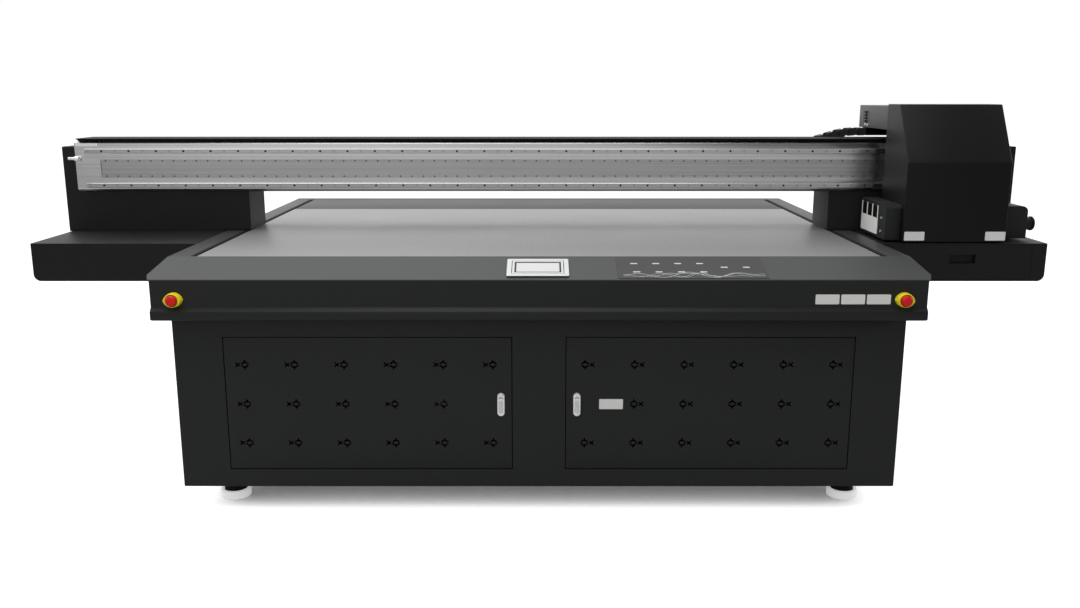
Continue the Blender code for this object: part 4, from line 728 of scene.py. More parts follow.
def rounded_copy(node: str, fold: float, ends: float = 0.0) -> bpy.types.Object:
    """Copies a CAD node and rounds the folds between its broad faces, as bent sheet has them.

    Args:
        node: The CAD node.
        fold: Radius of the folds.
        ends: Radius of the lower corners at the two ends along X, or 0 for none.

    Returns:
        The new piece.
    """
    bm = merged(node)
    if ends:
        low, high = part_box(node)
        corners = [
            rim for rim in bm.edges
            if all(min(abs(v.co.x - low.x), abs(v.co.x - high.x)) < NEARLY for v in rim.verts)
            and all(abs(v.co.z - low.z) < NEARLY for v in rim.verts)
        ]
        bmesh.ops.bevel(bm, geom=corners, offset=ends, segments=4, profile=0.5, affect="EDGES", clamp_overlap=True)
    wide = {face: face_breadth(face) > BROAD for face in bm.faces}
    folds = [
        rim for rim in bm.edges
        if len(rim.link_faces) == 2 and rim.is_convex
        and math.degrees(rim.calc_face_angle(0.0)) >= FOLD_ANGLE
        and all(wide[face] for face in rim.link_faces)
    ]
    if folds:
        bmesh.ops.bevel(bm, geom=folds, offset=fold, segments=3, profile=0.5, affect="EDGES", clamp_overlap=True)
    return soften(to_object(f"{node}_skin", bm), 20.0)


def present(
    piece: bpy.types.Object, finish: Finish, body: str, slot: str, *stands_for: str
) -> bpy.types.Object:
    """Gives a piece its finish and hands it to the body that it moves with.

    Args:
        piece: The piece, in place.
        finish: Its finish.
        body: The CAD body that carries it.
        slot: The record's material slot; not used.
        stands_for: The CAD nodes that it replaces.

    Returns:
        The same piece.
    """
    if not piece.data.materials:
        piece.data.materials.append(finish.material())
    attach(piece, body)
    if stands_for:
        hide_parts(*stands_for)
    LOG.info("%s: %d faces, rides on %s", piece.name, len(piece.data.polygons), body)
    return piece


def dress(finish: Finish, *nodes: str) -> None:
    """Gives CAD nodes that stay their finish.

    Args:
        finish: The finish.
        nodes: The CAD nodes.
    """
    for node in nodes:
        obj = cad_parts[node]
        if obj.material_slots:
            for place in obj.material_slots:
                place.material = finish.material()
        else:
            obj.data.materials.append(finish.material())
        LOG.info("%s: dressed in %s", node, finish.name)


# ---------------------------------------------------------------- what repeats
class Repeat:
    """Geometry Nodes that set out one small part many times."""

    def __init__(self) -> None:
        """Builds the two trees."""
        self.rows = self._tree("rows of parts", self._fill_rows, {
            "Part": ("Object", None), "Start": ("Vector", (0, 0, 0)), "Columns": ("Int", 2),
            "Column Step": ("Vector", (0.05, 0, 0)), "Rows": ("Int", 1),
            "Row Step": ("Vector", (0, 0, 0.05)), "Finish": ("Material", None),
        })
        self.path = self._tree("parts along a path", self._fill_path, {
            "Part": ("Object", None), "Count": ("Int", 10), "Finish": ("Material", None),
        })

    @staticmethod
    def _tree(
        name: str,
        fill: Callable[[Bench, bpy.types.NodeOutputs, bpy.types.NodeInputs], None],
        inputs: dict[str, tuple[str, object]],
    ) -> bpy.types.NodeTree:
        """Starts a geometry tree with named inputs.

        Args:
            name: The tree's name.
            fill: Lays the nodes between its ends.
            inputs: Socket type and default of each input after the geometry.

        Returns:
            The tree.
        """
        tree = bpy.data.node_groups.new(name, "GeometryNodeTree")
        tree.interface.new_socket("Geometry", in_out="INPUT", socket_type="NodeSocketGeometry")
        for label, (kind, default) in inputs.items():
            socket = tree.interface.new_socket(label, in_out="INPUT", socket_type=f"NodeSocket{kind}")
            if default is not None:
                socket.default_value = default
        tree.interface.new_socket("Geometry", in_out="OUTPUT", socket_type="NodeSocketGeometry")
        bench = Bench(tree)
        fill(bench, bench.add("NodeGroupInput").outputs, bench.add("NodeGroupOutput").inputs)
        return tree

    @staticmethod
    def _finish(bench: Bench, given: bpy.types.NodeOutputs, placed: bpy.types.NodeSocket) -> bpy.types.NodeSocket:
        """Makes placed parts real and paints them."""
        real = bench.add("GeometryNodeRealizeInstances", {0: placed})
        painted = bench.add("GeometryNodeSetMaterial", {"Geometry": real.outputs[0], "Material": given["Finish"]})
        return painted.outputs[0]

    @classmethod
    def _fill_rows(cls, bench: Bench, given: bpy.types.NodeOutputs, made: bpy.types.NodeInputs) -> None:
        """Sets parts out in rows and columns."""
        across = bench.add("GeometryNodeMeshLine", {
            "Count": given["Columns"], "Start Location": given["Start"], "Offset": given["Column Step"],
        })
        up = bench.add("GeometryNodeMeshLine", {"Count": given["Rows"], "Offset": given["Row Step"]})
        grid = bench.add("GeometryNodeInstanceOnPoints", {"Points": up.outputs[0], "Instance": across.outputs[0]})
        points = bench.add("GeometryNodeRealizeInstances", {0: grid.outputs[0]})
        part = bench.add("GeometryNodeObjectInfo", {"Object": given["Part"]})
        placed = bench.add(
            "GeometryNodeInstanceOnPoints", {"Points": points.outputs[0], "Instance": part.outputs["Geometry"]}
        )
        bench.tree.links.new(cls._finish(bench, given, placed.outputs[0]), made[0])

    @classmethod
    def _fill_path(cls, bench: Bench, given: bpy.types.NodeOutputs, made: bpy.types.NodeInputs) -> None:
        """Sets parts out along the host's own line, turned to follow it."""
        curve = bench.add("GeometryNodeMeshToCurve", {0: given["Geometry"]})
        spaced = bench.add("GeometryNodeResampleCurve", {"Curve": curve.outputs[0], "Count": given["Count"]})
        tangent = bench.add("GeometryNodeInputTangent")
        turn = bench.add("FunctionNodeAlignRotationToVector", {"Vector": tangent.outputs[0]}, axis="X", pivot_axis="Y")
        part = bench.add("GeometryNodeObjectInfo", {"Object": given["Part"]})
        placed = bench.add("GeometryNodeInstanceOnPoints", {
            "Points": spaced.outputs[0], "Instance": part.outputs["Geometry"], "Rotation": turn.outputs[0],
        })
        bench.tree.links.new(cls._finish(bench, given, placed.outputs[0]), made[0])

    @staticmethod
    def _run(host: bpy.types.Object, tree: bpy.types.NodeTree, values: dict[str, object]) -> bpy.types.Object:
        """Runs a tree on a host and keeps the result as a plain mesh.

        Args:
            host: Object whose mesh feeds the tree.
            tree: The tree.
            values: Value of each named input.

        Returns:
            The host with its new mesh.
        """
        modifier = host.modifiers.new("repeat", "NODES")
        modifier.node_group = tree
        sockets = {item.name: item.identifier for item in tree.interface.items_tree if item.in_out == "INPUT"}
        for label, value in values.items():
            modifier[sockets[label]] = value
        frozen(host)
        return host

    def in_rows(
        self, name: str, part: bpy.types.Object, finish: Finish, start: Sequence[float],
        columns: int, column_step: Sequence[float], rows: int = 1, row_step: Sequence[float] = (0, 0, 0),
    ) -> bpy.types.Object:
        """Sets a part out in a grid.

        Args:
            name: The new piece's name.
            part: The part, modelled at the origin; it is thrown away after use.
            finish: Its finish.
            start: Place of the first one.
            columns: How many across.
            column_step: Step from one to the next across.
            rows: How many rows.
            row_step: Step from row to row.

        Returns:
            The piece.
        """
        host = to_object(name, bmesh.new())
        self._run(host, self.rows, {
            "Part": part, "Start": [float(v) for v in start], "Columns": columns,
            "Column Step": [float(v) for v in column_step], "Rows": rows,
            "Row Step": [float(v) for v in row_step], "Finish": finish.material(),
        })
        bpy.data.objects.remove(part)
        return host

    def along(
        self, name: str, part: bpy.types.Object, finish: Finish, path: Sequence[Sequence[float]], count: int
    ) -> bpy.types.Object:
        """Sets a part out along a path.

        Args:
            name: The new piece's name.
            part: The part, modelled at the origin with its length along X.
            finish: Its finish.
            path: Points that the path passes through.
            count: How many parts.

        Returns:
            The piece.
        """
        bm = bmesh.new()
        verts = [bm.verts.new(p) for p in path]
        for one, two in zip(verts, verts[1:]):
            bm.edges.new((one, two))
        host = to_object(name, bm, outward=False)
        return self._run(host, self.path, {"Part": part, "Count": count, "Finish": finish.material()})


def joined(name: str, pieces: Iterable[bpy.types.Object]) -> bpy.types.Object:
    """Joins pieces of one finish into one object.

    Args:
        name: The new piece's name.
        pieces: The pieces, which are thrown away.

    Returns:
        The joined piece.
    """
    bm = bmesh.new()
    finish = None
    for piece in list(pieces):
        bm.from_mesh(piece.data)
        finish = finish or (piece.data.materials[0] if piece.data.materials else None)
        bpy.data.objects.remove(piece)
    whole = to_object(name, bm, outward=False)
    if finish:
        whole.data.materials.append(finish)
    return whole


def cap_screw(radius: float, height: float, axis: Sequence[float], sides: int = 10) -> bpy.types.Object:
    """A socket screw's head, standing on the origin.

    Args:
        radius: Head radius.
        height: Head height.
        axis: The way it points.
        sides: Number of sides.

    Returns:
        The part.
    """
    bm = bmesh.new()
    profile = [
        (radius, 0.0), (radius, height * 0.8), (radius * 0.86, height),
        (radius * 0.5, height), (radius * 0.45, height * 0.45), (0, height * 0.4),
    ]
    add_turned(bm, profile, (0, 0, 0), axis, sides)
    return soften(to_object("screw", bm), 40.0)


def add_label(bm: bmesh.types.BMesh, corner: Flat, size: Flat, face: float) -> None:
    """Adds a plain plate with round corners to a cover that looks along -Y.

    Args:
        bm: Shape to add to.
        corner: X and Z of its lowest corner.
        size: Width and height.
        face: Y of the cover's face.
    """
    high = (corner[0] + size[0], corner[1] + size[1])
    add_slab(bm, rounded_outline(corner, high, 0.003, 2), front, face - 0.0006, face - 0.0001)


# ---------------------------------------------------------------- the printer's sub-assemblies
@dataclass
class Table:
    """Vacuum bed, its covers and the controls on them."""

    repeat: Repeat
    hole_pitch: float = 0.050
    hole_radius: float = 0.0014
    hole_margin: float = 0.045  # from the outer holes to the bed's edge
    shade_strip_width: float = 0.0140
    strip_top: float = 0.0009
    slope_run: float = 0.2132  # console's length up its slope
    slope_drop: float = 0.051
    screen_height: float = 0.152
    screen_proud: float = 0.008
    screen_shift: float = -0.0105  # up the slope, from its middle
    film_height: float = 0.196
    film_top: float = 0.0015
    key_first: float = -0.207  # first key from the film's middle
    key_pitch: float = 0.0815
    key_mark: Flat = (0.027, 0.009)
    stop_cap: float = 0.020
    label_size: Flat = (0.086, 0.036)
    label_gap: float = 0.0065
    label_foot: float = 0.827
    label_clear: float = 0.0475  # from the stop button's middle

    def build(self) -> None:
        """Makes and dresses every part of the table."""
        self.covers()
        self.bed()
        self.screen()
        self.keys()
        self.stops()
        self.labels()

    def covers(self) -> None:
        """Bends the folds of the covers round the bed."""
        present(rounded_copy("front_apron", 0.003, ends=0.009), BLACK, "base", "black_covers", "front_apron")
        present(rounded_copy("console_panel", 0.002), CHARCOAL, "base", "grey_covers", "console_panel")
        for word in SIDES:
            node = f"side_band_{word}"
            band = present(rounded_copy(node, 0.002), CHARCOAL, "base", "grey_covers", node)
            # Each side band's inner wall at the slot takes the near-black finish: painted shade in the slot.
            band.data.materials.append(DARK.material())
            inner = min((abs(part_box(node)[i].x) for i in (0, 1)))
            for face in band.data.polygons:
                if abs(face.normal.x) > 0.9 and abs(face.center.x) < inner + 0.004:
                    face.material_index = 1
        self.slot_seals()
        present(rounded_copy("rear_apron", 0.003), BLACK, "base", "black_covers", "rear_apron")
        present(rounded_copy("rear_deck", 0.002), DECK_GREY, "base", "grey_covers", "rear_deck")

    def slot_seals(self) -> None:
        """Lays a black rubber strip along each slot, on the side band's inner edge, to draw the slot's dark line:
        painted shade.
        """
        bm = bmesh.new()
        foot, shoulder, chamfer, short = 0.0001, 0.0006, 0.0008, 0.002
        for word, side in SIDES.items():
            low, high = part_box(f"side_band_{word}")
            inner = min(abs(low.x), abs(high.x)) + SKIN
            outer = inner + self.shade_strip_width
            profile = [(side * a, high.z + b) for a, b in (
                (inner, foot), (inner, shoulder), (inner + chamfer, self.strip_top),
                (outer - chamfer, self.strip_top), (outer, foot),
            )]
            add_slab(bm, profile, front, low.y + short, high.y - short)
        # Black strips beside the slots: painted shade of the slot gap.
        present(to_object("slot_seals", bm), RUBBER, "base", "black_plastic")

    def bed(self) -> None:
        """Rounds the bed's edges and lays its field of suction holes as flat dark discs: painted shade in place of
        drilled holes.
        """
        present(rounded_copy("vacuum_bed", 0.0015), ANODISED, "base", "bed_plate", "vacuum_bed")
        low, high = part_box("vacuum_bed")
        bm = bmesh.new()
        add_turned(bm, [(self.hole_radius, 0.0), (self.hole_radius, SKIN / 2)], (0, 0, 0), (0, 0, 1), 6)
        pitch = self.hole_pitch
        columns = int((high.x - low.x - 2 * self.hole_margin) / pitch) + 1
        rows = int((high.y - low.y - 2 * self.hole_margin) / pitch) + 1
        start = (
            (low.x + high.x) / 2 - (columns - 1) * pitch / 2,
            (low.y + high.y) / 2 - (rows - 1) * pitch / 2,
            high.z - SKIN / 4,
        )
        hole = to_object("hole", bm)
        # The holes are flat near-black discs on the bed's face: painted shade, not cut holes.
        holes = self.repeat.in_rows("suction_holes", hole, DARK, start, columns, (pitch, 0, 0), rows, (0, pitch, 0))
        present(holes, DARK, "base", "bed_plate")

    def on_slope(self) -> Callable[[float, float, float], Vector]:
        """Places flat outlines on the console.

        Returns:
            A function of X, the way up the slope, and the height over it.
        """
        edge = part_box("console_panel")[0].y
        bed_low, bed_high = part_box("vacuum_bed")
        up = Vector((0, bed_low.y - edge, self.slope_drop)).normalized()
        foot = Vector((0, edge, bed_high.z - self.slope_drop))
        normal = Vector((0, -up.z, up.y))
        return lambda a, b, depth: foot + Vector((a, 0, 0)) + up * b + normal * depth

    def screen(self) -> None:
        """Builds the touch screen: stepped bezel, a dark gasket under it that also paints the shade below the bezel's
        edge, glass, a dark seal in the bezel's groove that paints its shade line, and a dark ring round the glass.
        """
        low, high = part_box("touch_screen")
        middle, half = (low.x + high.x) / 2, (high.x - low.x) / 2
        centre, rise = self.slope_run / 2 + self.screen_shift, self.screen_height / 2
        place, top = self.on_slope(), self.screen_proud

        def inset(by: float, radius: float) -> list[Flat]:
            """The screen's outline, drawn in."""
            corner, far = (middle - half + by, centre - rise + by), (middle + half - by, centre + rise - by)
            return rounded_outline(corner, far, radius)

        bm = bmesh.new()
        steps = (
            (0.0, 0.006, 0.0046), (0.0, 0.006, top - 0.0012), (0.0015, 0.005, top - SKIN),
            (0.0165, 0.003, top - SKIN), (0.0175, 0.003, top - 0.0012), (0.0195, 0.003, top - 0.0012),
            (0.0205, 0.003, top - SKIN), (0.0275, 0.003, top - SKIN), (0.0283, 0.003, top - 0.0016),
            (0.0330, 0.002, top - 0.0022), (0.0335, 0.002, top - 0.0045),
        )
        add_loft(bm, [(inset(by, radius), depth) for by, radius, depth in steps], place)
        present(soften(to_object("screen_bezel", bm), 30), BEZEL, "base", "screen_bezel", "touch_screen")
        # Dark rubber gasket under the bezel: partly a real gasket, partly painted shade under the bezel's proud edge
        # and along its sides.
        bm = bmesh.new()
        add_slab(bm, inset(0.0008, 0.005), place, 0.0003, 0.0045)
        present(to_object("screen_gasket", bm), RUBBER, "base", "black_plastic")
        bm = bmesh.new()
        add_slab(bm, inset(0.0345, 0.002), place, top - 0.0044, top - 0.0020)
        present(to_object("screen_glass", bm), GLASS, "base", "screen_bezel")
        bm = bmesh.new()
        seal_foot, strip_top = top - 0.0019, top - 0.0011 + SKIN
        # The first ring lies in the bezel's groove and darkens it: painted shade of the groove. The second is the dark
        # border round the glass.
        for by, wide in ((0.0172, 0.0026), (0.0280, 0.0064)):
            outer, inner = inset(by, 0.003), inset(by + wide, 0.002)
            sections = ((outer, seal_foot), (outer, strip_top), (inner, strip_top), (inner, seal_foot))
            add_loft(bm, sections, place, closed=True)
        present(to_object("screen_seal", bm), SEAL, "base", "black_plastic")

    def keys(self) -> None:
        """Lays the key film, its ten pale key marks and a generic wave line."""
        low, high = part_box("key_panel")
        middle, width = (low.x + high.x) / 2, high.x - low.x
        centre, rise = self.slope_run / 2, self.film_height / 2
        place = self.on_slope()
        bm = bmesh.new()
        outline = rounded_outline((middle - width / 2, centre - rise), (middle + width / 2, centre + rise), 0.006)
        add_slab(bm, outline, place, SKIN, self.film_top)
        present(to_object("key_film", bm), FILM, "base", "key_overlay", "key_panel")
        bm = bmesh.new()
        for shift, up, columns in ((0.0, 0.1415, range(4)), (0.0045, 0.0655, range(4)), (0.004075, 0.1075, (4, 5))):
            for column in columns:
                spot = (middle + self.key_first + shift + column * self.key_pitch, up)
                add_slab(bm, pill(spot, *self.key_mark, 3), place, self.film_top, self.film_top + SKIN)
        present(to_object("key_marks", bm), INK_PRINT, "base", "key_overlay")
        self.waves(middle, width, place)

    def waves(self, middle: float, width: float, place: Callable[[float, float, float], Vector]) -> None:
        """Prints four thin crossing wave lines along the film's lower edge.

        Args:
            middle: The film's middle.
            width: The film's width.
            place: Places points on the film.
        """
        bm = bmesh.new()
        steps = 80
        lines = (
            (0.0, 0.024, 2.7, 0.0022), (1.9, 0.018, 3.6, 0.0020), (3.6, 0.015, 1.6, 0.0018), (5.1, 0.020, 4.4, 0.0014)
        )
        for phase, height, turns, thick in lines:
            upper, lower = [], []
            for i in range(steps + 1):
                share = i / steps
                a = middle - width * 0.465 + width * 0.945 * share
                fade = math.sin(math.pi * share)
                b = 0.036 + height * (0.45 + 0.55 * fade) * math.sin(phase + turns * math.tau * share) + 0.004 * share
                upper.append((a, b + thick * (0.5 + 0.5 * fade)))
                lower.append((a, b))
            for i in range(steps):
                corners = [lower[i], lower[i + 1], upper[i + 1], upper[i]]
                add_slab(bm, corners, place, self.film_top, self.film_top + SKIN)
        present(to_object("wave_print", bm), INK_PRINT, "base", "key_overlay")

    def stops(self) -> None:
        """Shapes the emergency stops: almond guard, and mushroom button on its stem."""
        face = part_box("front_apron")[0].y + APRON_STEP
        for word in SIDES:
            low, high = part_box(f"estop_guard_{word}")
            x, z = (low.x + high.x) / 2, (low.z + high.z) / 2
            depth = face - low.y
            almond = self.almond((high.x - low.x) / 2, (high.z - low.z) / 2)

            def collar(scale: float, radius: float) -> list[Flat]:
                """The almond scaled, or with a scale of 0 a circle."""
                points = []
                for a, b in almond:
                    size = max(math.hypot(a, b) * scale, radius)
                    turn = math.atan2(b, a)
                    points.append((x + size * math.cos(turn), z + size * math.sin(turn)))
                return points

            wall, bore, stem = 0.0232, 0.0228, 0.0125
            sections = [(collar(scale, radius), face - far) for scale, radius, far in (
                (1.0, wall, 0.0003), (1.0, wall, depth * 0.35), (0.975, wall, depth * 0.42),
                (0.985, wall, depth * 0.60), (0.95, wall, depth * 0.86), (0.90, wall, depth),
                (0.0, bore, depth), (0.0, bore - 0.0006, depth * 0.92), (0.0, bore - 0.0012, depth * 0.45),
                (0.0, stem, depth * 0.40), (0.0, stem, 0.0003),
            )]
            bm = bmesh.new()
            add_loft(bm, sections, front, closed=True)
            present(soften(to_object(f"stop_guard_{word}", bm)), YELLOW, "base", "guard_yellow", f"estop_guard_{word}")
            reach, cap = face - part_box(f"estop_button_{word}")[0].y, self.stop_cap
            bm = bmesh.new()
            profile = [
                (0, -0.012), (0.0105, -0.012), (0.0105, reach - 0.017), (cap * 0.80, reach - 0.0165),
                (cap, reach - 0.014), (cap, reach - 0.009), (cap * 0.95, reach - 0.005),
                (cap * 0.80, reach - 0.0020), (cap * 0.45, reach - 0.0005), (0, reach),
            ]
            add_turned(bm, profile, (x, face, z), (0, -1, 0), 36)
            button = soften(to_object(f"stop_button_{word}", bm), 50)
            present(button, RED, f"stop_{word}", "stop_red", f"estop_button_{word}")

    @staticmethod
    def almond(half: float, rise: float, steps: int = 16) -> list[Flat]:
        """Outline of two arcs that meet in a point at the left and the right.

        Args:
            half: Half its length.
            rise: Half its height.
            steps: Sides of each arc.

        Returns:
            The outline's points round its middle.
        """
        radius = (half * half + rise * rise) / (2 * rise)
        turn = math.asin(half / radius)
        angles = [turn - 2 * turn * i / steps for i in range(steps + 1)]
        upper = [(radius * math.sin(angle), rise - radius + radius * math.cos(angle)) for angle in angles]
        return upper + [(a, -b) for a, b in reversed(upper[1:-1])]

    def labels(self) -> None:
        """Sticks three plain plates beside the right stop button."""
        guard_low, guard_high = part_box("estop_guard_right")
        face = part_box("front_apron")[0].y + APRON_STEP
        width = self.label_size[0]
        bm = bmesh.new()
        for i in range(3):
            right = (guard_low.x + guard_high.x) / 2 - self.label_clear - i * (width + self.label_gap)
            add_label(bm, (right - width, self.label_foot), self.label_size, face)
        present(to_object("apron_labels", bm), PLATE, "base", "enclosure_white")


@dataclass
class Cabinet:
    """Cabinet, its doors and handles, the frame under the table and the feet."""

    repeat: Repeat
    vent_first: float = 0.080
    vent_pitch: Flat = (0.1838, 0.1525)
    vent_columns: int = 6
    sheet: float = 0.002
    fold: float = 0.003
    shaft_bore: float = 0.0068
    handle_size: Flat = (0.028, 0.089)
    handle_proud: float = 0.012
    lining: float = 0.0012
    label_size: Flat = (0.089, 0.039)
    label_shift: float = 0.124  # from the door's left edge

    def build(self) -> None:
        """Makes and dresses every part of the cabinet."""
        present(rounded_copy("cabinet_shell", 0.004), BLACK, "base", "black_covers", "cabinet_shell")
        for word, side in SIDES.items():
            self.door(word, side)
            self.handle(word)
        self.linings()
        self.label()
        self.feet()
        dress(FRAME_PAINT, "machine_frame")
        dress(ENCLOSURE, "electrics_box")
        dress(DARK_ALLOY, "vacuum_blower")
        dress(DARK_ALLOY, "vacuum_plenum")
        dress(SIDE_RAIL_METAL, "y_rail_left", "y_rail_right")
        dress(TRACK_METAL, "y_magnet_left", "y_magnet_right")

    @staticmethod
    def vent_outlines(flip: int) -> list[list[Flat]]:
        """Outlines of one vent: two bent slots with a spur each, and a forked tail.

        Args:
            flip: 1 if it points along X, or -1.

        Returns:
            The outlines round the vent's middle.
        """
        upper = [
            (-0.006, 0.0012), (-0.003, 0.006), (0.004, 0.012), (0.007, 0.0125), (0.0075, 0.019), (0.0125, 0.019),
            (0.013, 0.0125), (0.016, 0.012), (0.023, 0.006), (0.026, 0.0012), (0.0185, 0.0012), (0.0145, 0.006),
            (0.0055, 0.006), (0.0015, 0.0012),
        ]
        tail = [
            (-0.028, 0.0095), (-0.0225, 0.0095), (-0.017, 0.004), (-0.0085, 0.008), (-0.0075, 0.004),
            (-0.012, 0.0), (-0.0075, -0.004), (-0.0085, -0.008), (-0.017, -0.004), (-0.0225, -0.0095),
            (-0.028, -0.0095), (-0.0215, 0.0),
        ]
        lower = [(a, -b) for a, b in reversed(upper)]
        return [[(flip * a, b) for a, b in outline] for outline in (upper, tail, lower)]

    def door(self, word: str, side: int) -> None:
        """Folds a door's pan and cuts its field of vents.

        Args:
            word: left or right.
            side: -1 or 1.
        """
        node = f"door_{word}"
        low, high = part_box(node)
        sheet, fold = self.sheet, self.fold

        def inset(by: float, radius: float = 0.004) -> list[Flat]:
            """The door's outline, drawn in."""
            return rounded_outline((low.x + by, low.z + by), (high.x - by, high.z - by), radius, 3)

        bm = bmesh.new()
        add_loft(bm, (
            (inset(sheet, 0.003), low.y + sheet), (inset(sheet, 0.003), high.y), (inset(0.0), high.y),
            (inset(0.0), low.y + fold), (inset(fold * 0.3), low.y + fold * 0.3), (inset(fold), low.y),
        ), front)
        leaf = to_object(f"{node}_leaf", bm)
        near = low.x if side > 0 else high.x
        middle = (low.z + high.z) / 2
        across, up = self.vent_pitch
        cutters = []
        for row in (-1, 0, 1):
            skip = 1 if row == 0 else 0
            start = (near + side * (self.vent_first + skip * across), 0, middle + row * up)
            bm = bmesh.new()
            for outline in self.vent_outlines(-side):
                add_slab(bm, outline, front, low.y - 0.004, low.y + sheet + 0.003)
            cutters.append(self.repeat.in_rows(
                f"vents_{word}_{row + 1}", to_object("vent", bm), BLACK, start, self.vent_columns - skip,
                (side * across, 0, 0),
            ))
        bm = bmesh.new()
        knob_low, knob_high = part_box(f"handle_{word}")
        start = ((knob_low.x + knob_high.x) / 2, low.y - 0.005, middle)
        add_turned(bm, [(self.shaft_bore, 0), (self.shaft_bore, 0.020)], start, (0, 1, 0), 20)
        cutters.append(to_object("handle_bore", bm))
        carve(leaf, joined("door_cutters", cutters))
        present(soften(leaf, 25), BLACK, node, "black_covers", node)

    def handle(self, word: str) -> None:
        """Shapes the pill handle with its grip recess, shaft and cam.

        Args:
            word: left or right.
        """
        node = f"handle_{word}"
        low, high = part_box(node)
        door_low, door_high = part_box(f"door_{word}")
        x, middle = (low.x + high.x) / 2, (door_low.z + door_high.z) / 2
        face = door_low.y - 0.0003
        top = face - self.handle_proud
        width, tall = self.handle_size
        bm = bmesh.new()
        add_loft(bm, [(pill((x, middle), width - 2 * by, tall - 2 * by, 6), y) for by, y in (
            (0.0, face), (0.0, face - 0.0085), (0.0012, face - 0.0112), (0.0040, top), (0.0058, top),
            (0.0066, top + 0.0018),
        )], front)
        add_turned(bm, [(0.006, 0), (0.006, high.y - face)], (x, face, middle), (0, 1, 0), 20)
        add_block(bm, (x - 0.006, high.y - 0.004, middle - 0.030), (x + 0.006, high.y, middle + 0.006), 0.001)
        present(soften(to_object(f"{node}_body", bm), 30), CHROME, node, "handle_metal", node)
        bm = bmesh.new()
        add_slab(bm, pill((x, middle - 0.008), 0.014, 0.050, 5), front, top + 0.0017, top + 0.0008)
        present(to_object(f"{node}_inlay", bm), INLAY, node, "handle_metal")
        bm = bmesh.new()
        arch = []
        for radius, steps in ((0.0085, range(9)), (0.0066, range(8, -1, -1))):
            for i in steps:
                angle = math.radians(25 + 130 * i / 8)
                arch.append((x + radius * math.cos(angle), middle + 0.021 + radius * math.sin(angle)))
        add_slab(bm, arch, front, top + 0.0017, top + 0.0006)
        present(to_object(f"{node}_mark", bm), PLASTIC, node, "black_plastic")

    def linings(self) -> None:
        """Lines both doorways with a black rubber edge."""
        bm = bmesh.new()
        gap, wide = 0.003, self.lining
        for word in SIDES:
            low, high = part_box(f"door_{word}")
            left, right, foot, head = low.x - gap, high.x + gap, low.z - gap, high.z + gap
            near, far = low.y + 0.0004, low.y + 0.0042
            for a, b, c, d in (
                (left, left + wide, foot, head), (right - wide, right, foot, head),
                (left + wide, right - wide, foot, foot + wide), (left + wide, right - wide, head - wide, head),
            ):
                add_block(bm, (a, near, c), (b, far, d))
        present(to_object("doorway_linings", bm), RUBBER, "base", "black_plastic")

    def label(self) -> None:
        """Sticks a plain plate on the right door."""
        low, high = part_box("door_right")
        bm = bmesh.new()
        corner = (low.x + self.label_shift, (low.z + high.z) / 2 - self.label_size[1] / 2)
        add_label(bm, corner, self.label_size, low.y)
        present(to_object("door_label", bm), PLATE, "door_right", "enclosure_white")

    @staticmethod
    def feet() -> None:
        """Turns each levelling foot: pale pad, and a steel stem and lock nut given the black rubber finish."""
        for node in ("foot_front_left", "foot_front_right", "foot_rear_left", "foot_rear_right"):
            low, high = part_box(node)
            place = ((low.x + high.x) / 2, (low.y + high.y) / 2, 0.0)
            reach = high.z
            bm = bmesh.new()
            pad = [
                (0, 0.0), (0.054, 0.0), (0.057, 0.001), (0.058, 0.003), (0.058, 0.0295), (0.0565, 0.032),
                (0.053, 0.033), (0.047, 0.033), (0.0455, 0.031), (0.0455, 0.028), (0, 0.028),
            ]
            add_turned(bm, pad, place, (0, 0, 1), 48)
            # The pad's finish glows: painted light, as the pads sit in the cabinet's shade.
            present(soften(to_object(f"{node}_pad", bm)), GLOWING_FOOT_WHITE, "base", "foot_white", node)
            bm = bmesh.new()
            stem = [
                (0, 0.0285), (0.0440, 0.0285), (0.0440, 0.034), (0.0405, 0.036), (0.0400, 0.052), (0.0375, 0.057),
                (0.0320, 0.060), (0.0195, 0.0605), (0.0195, 0.070), (0.018, 0.0715), (0.0118, 0.072),
                (0.0118, reach - 0.022), (0.019, reach - 0.0215), (0.020, reach - 0.020), (0.020, reach - 0.0015),
                (0.0185, reach), (0, reach),
            ]
            add_turned(bm, stem, place, (0, 0, 1), 32)
            present(soften(to_object(f"{node}_stem", bm)), RUBBER, "base", "frame_steel")


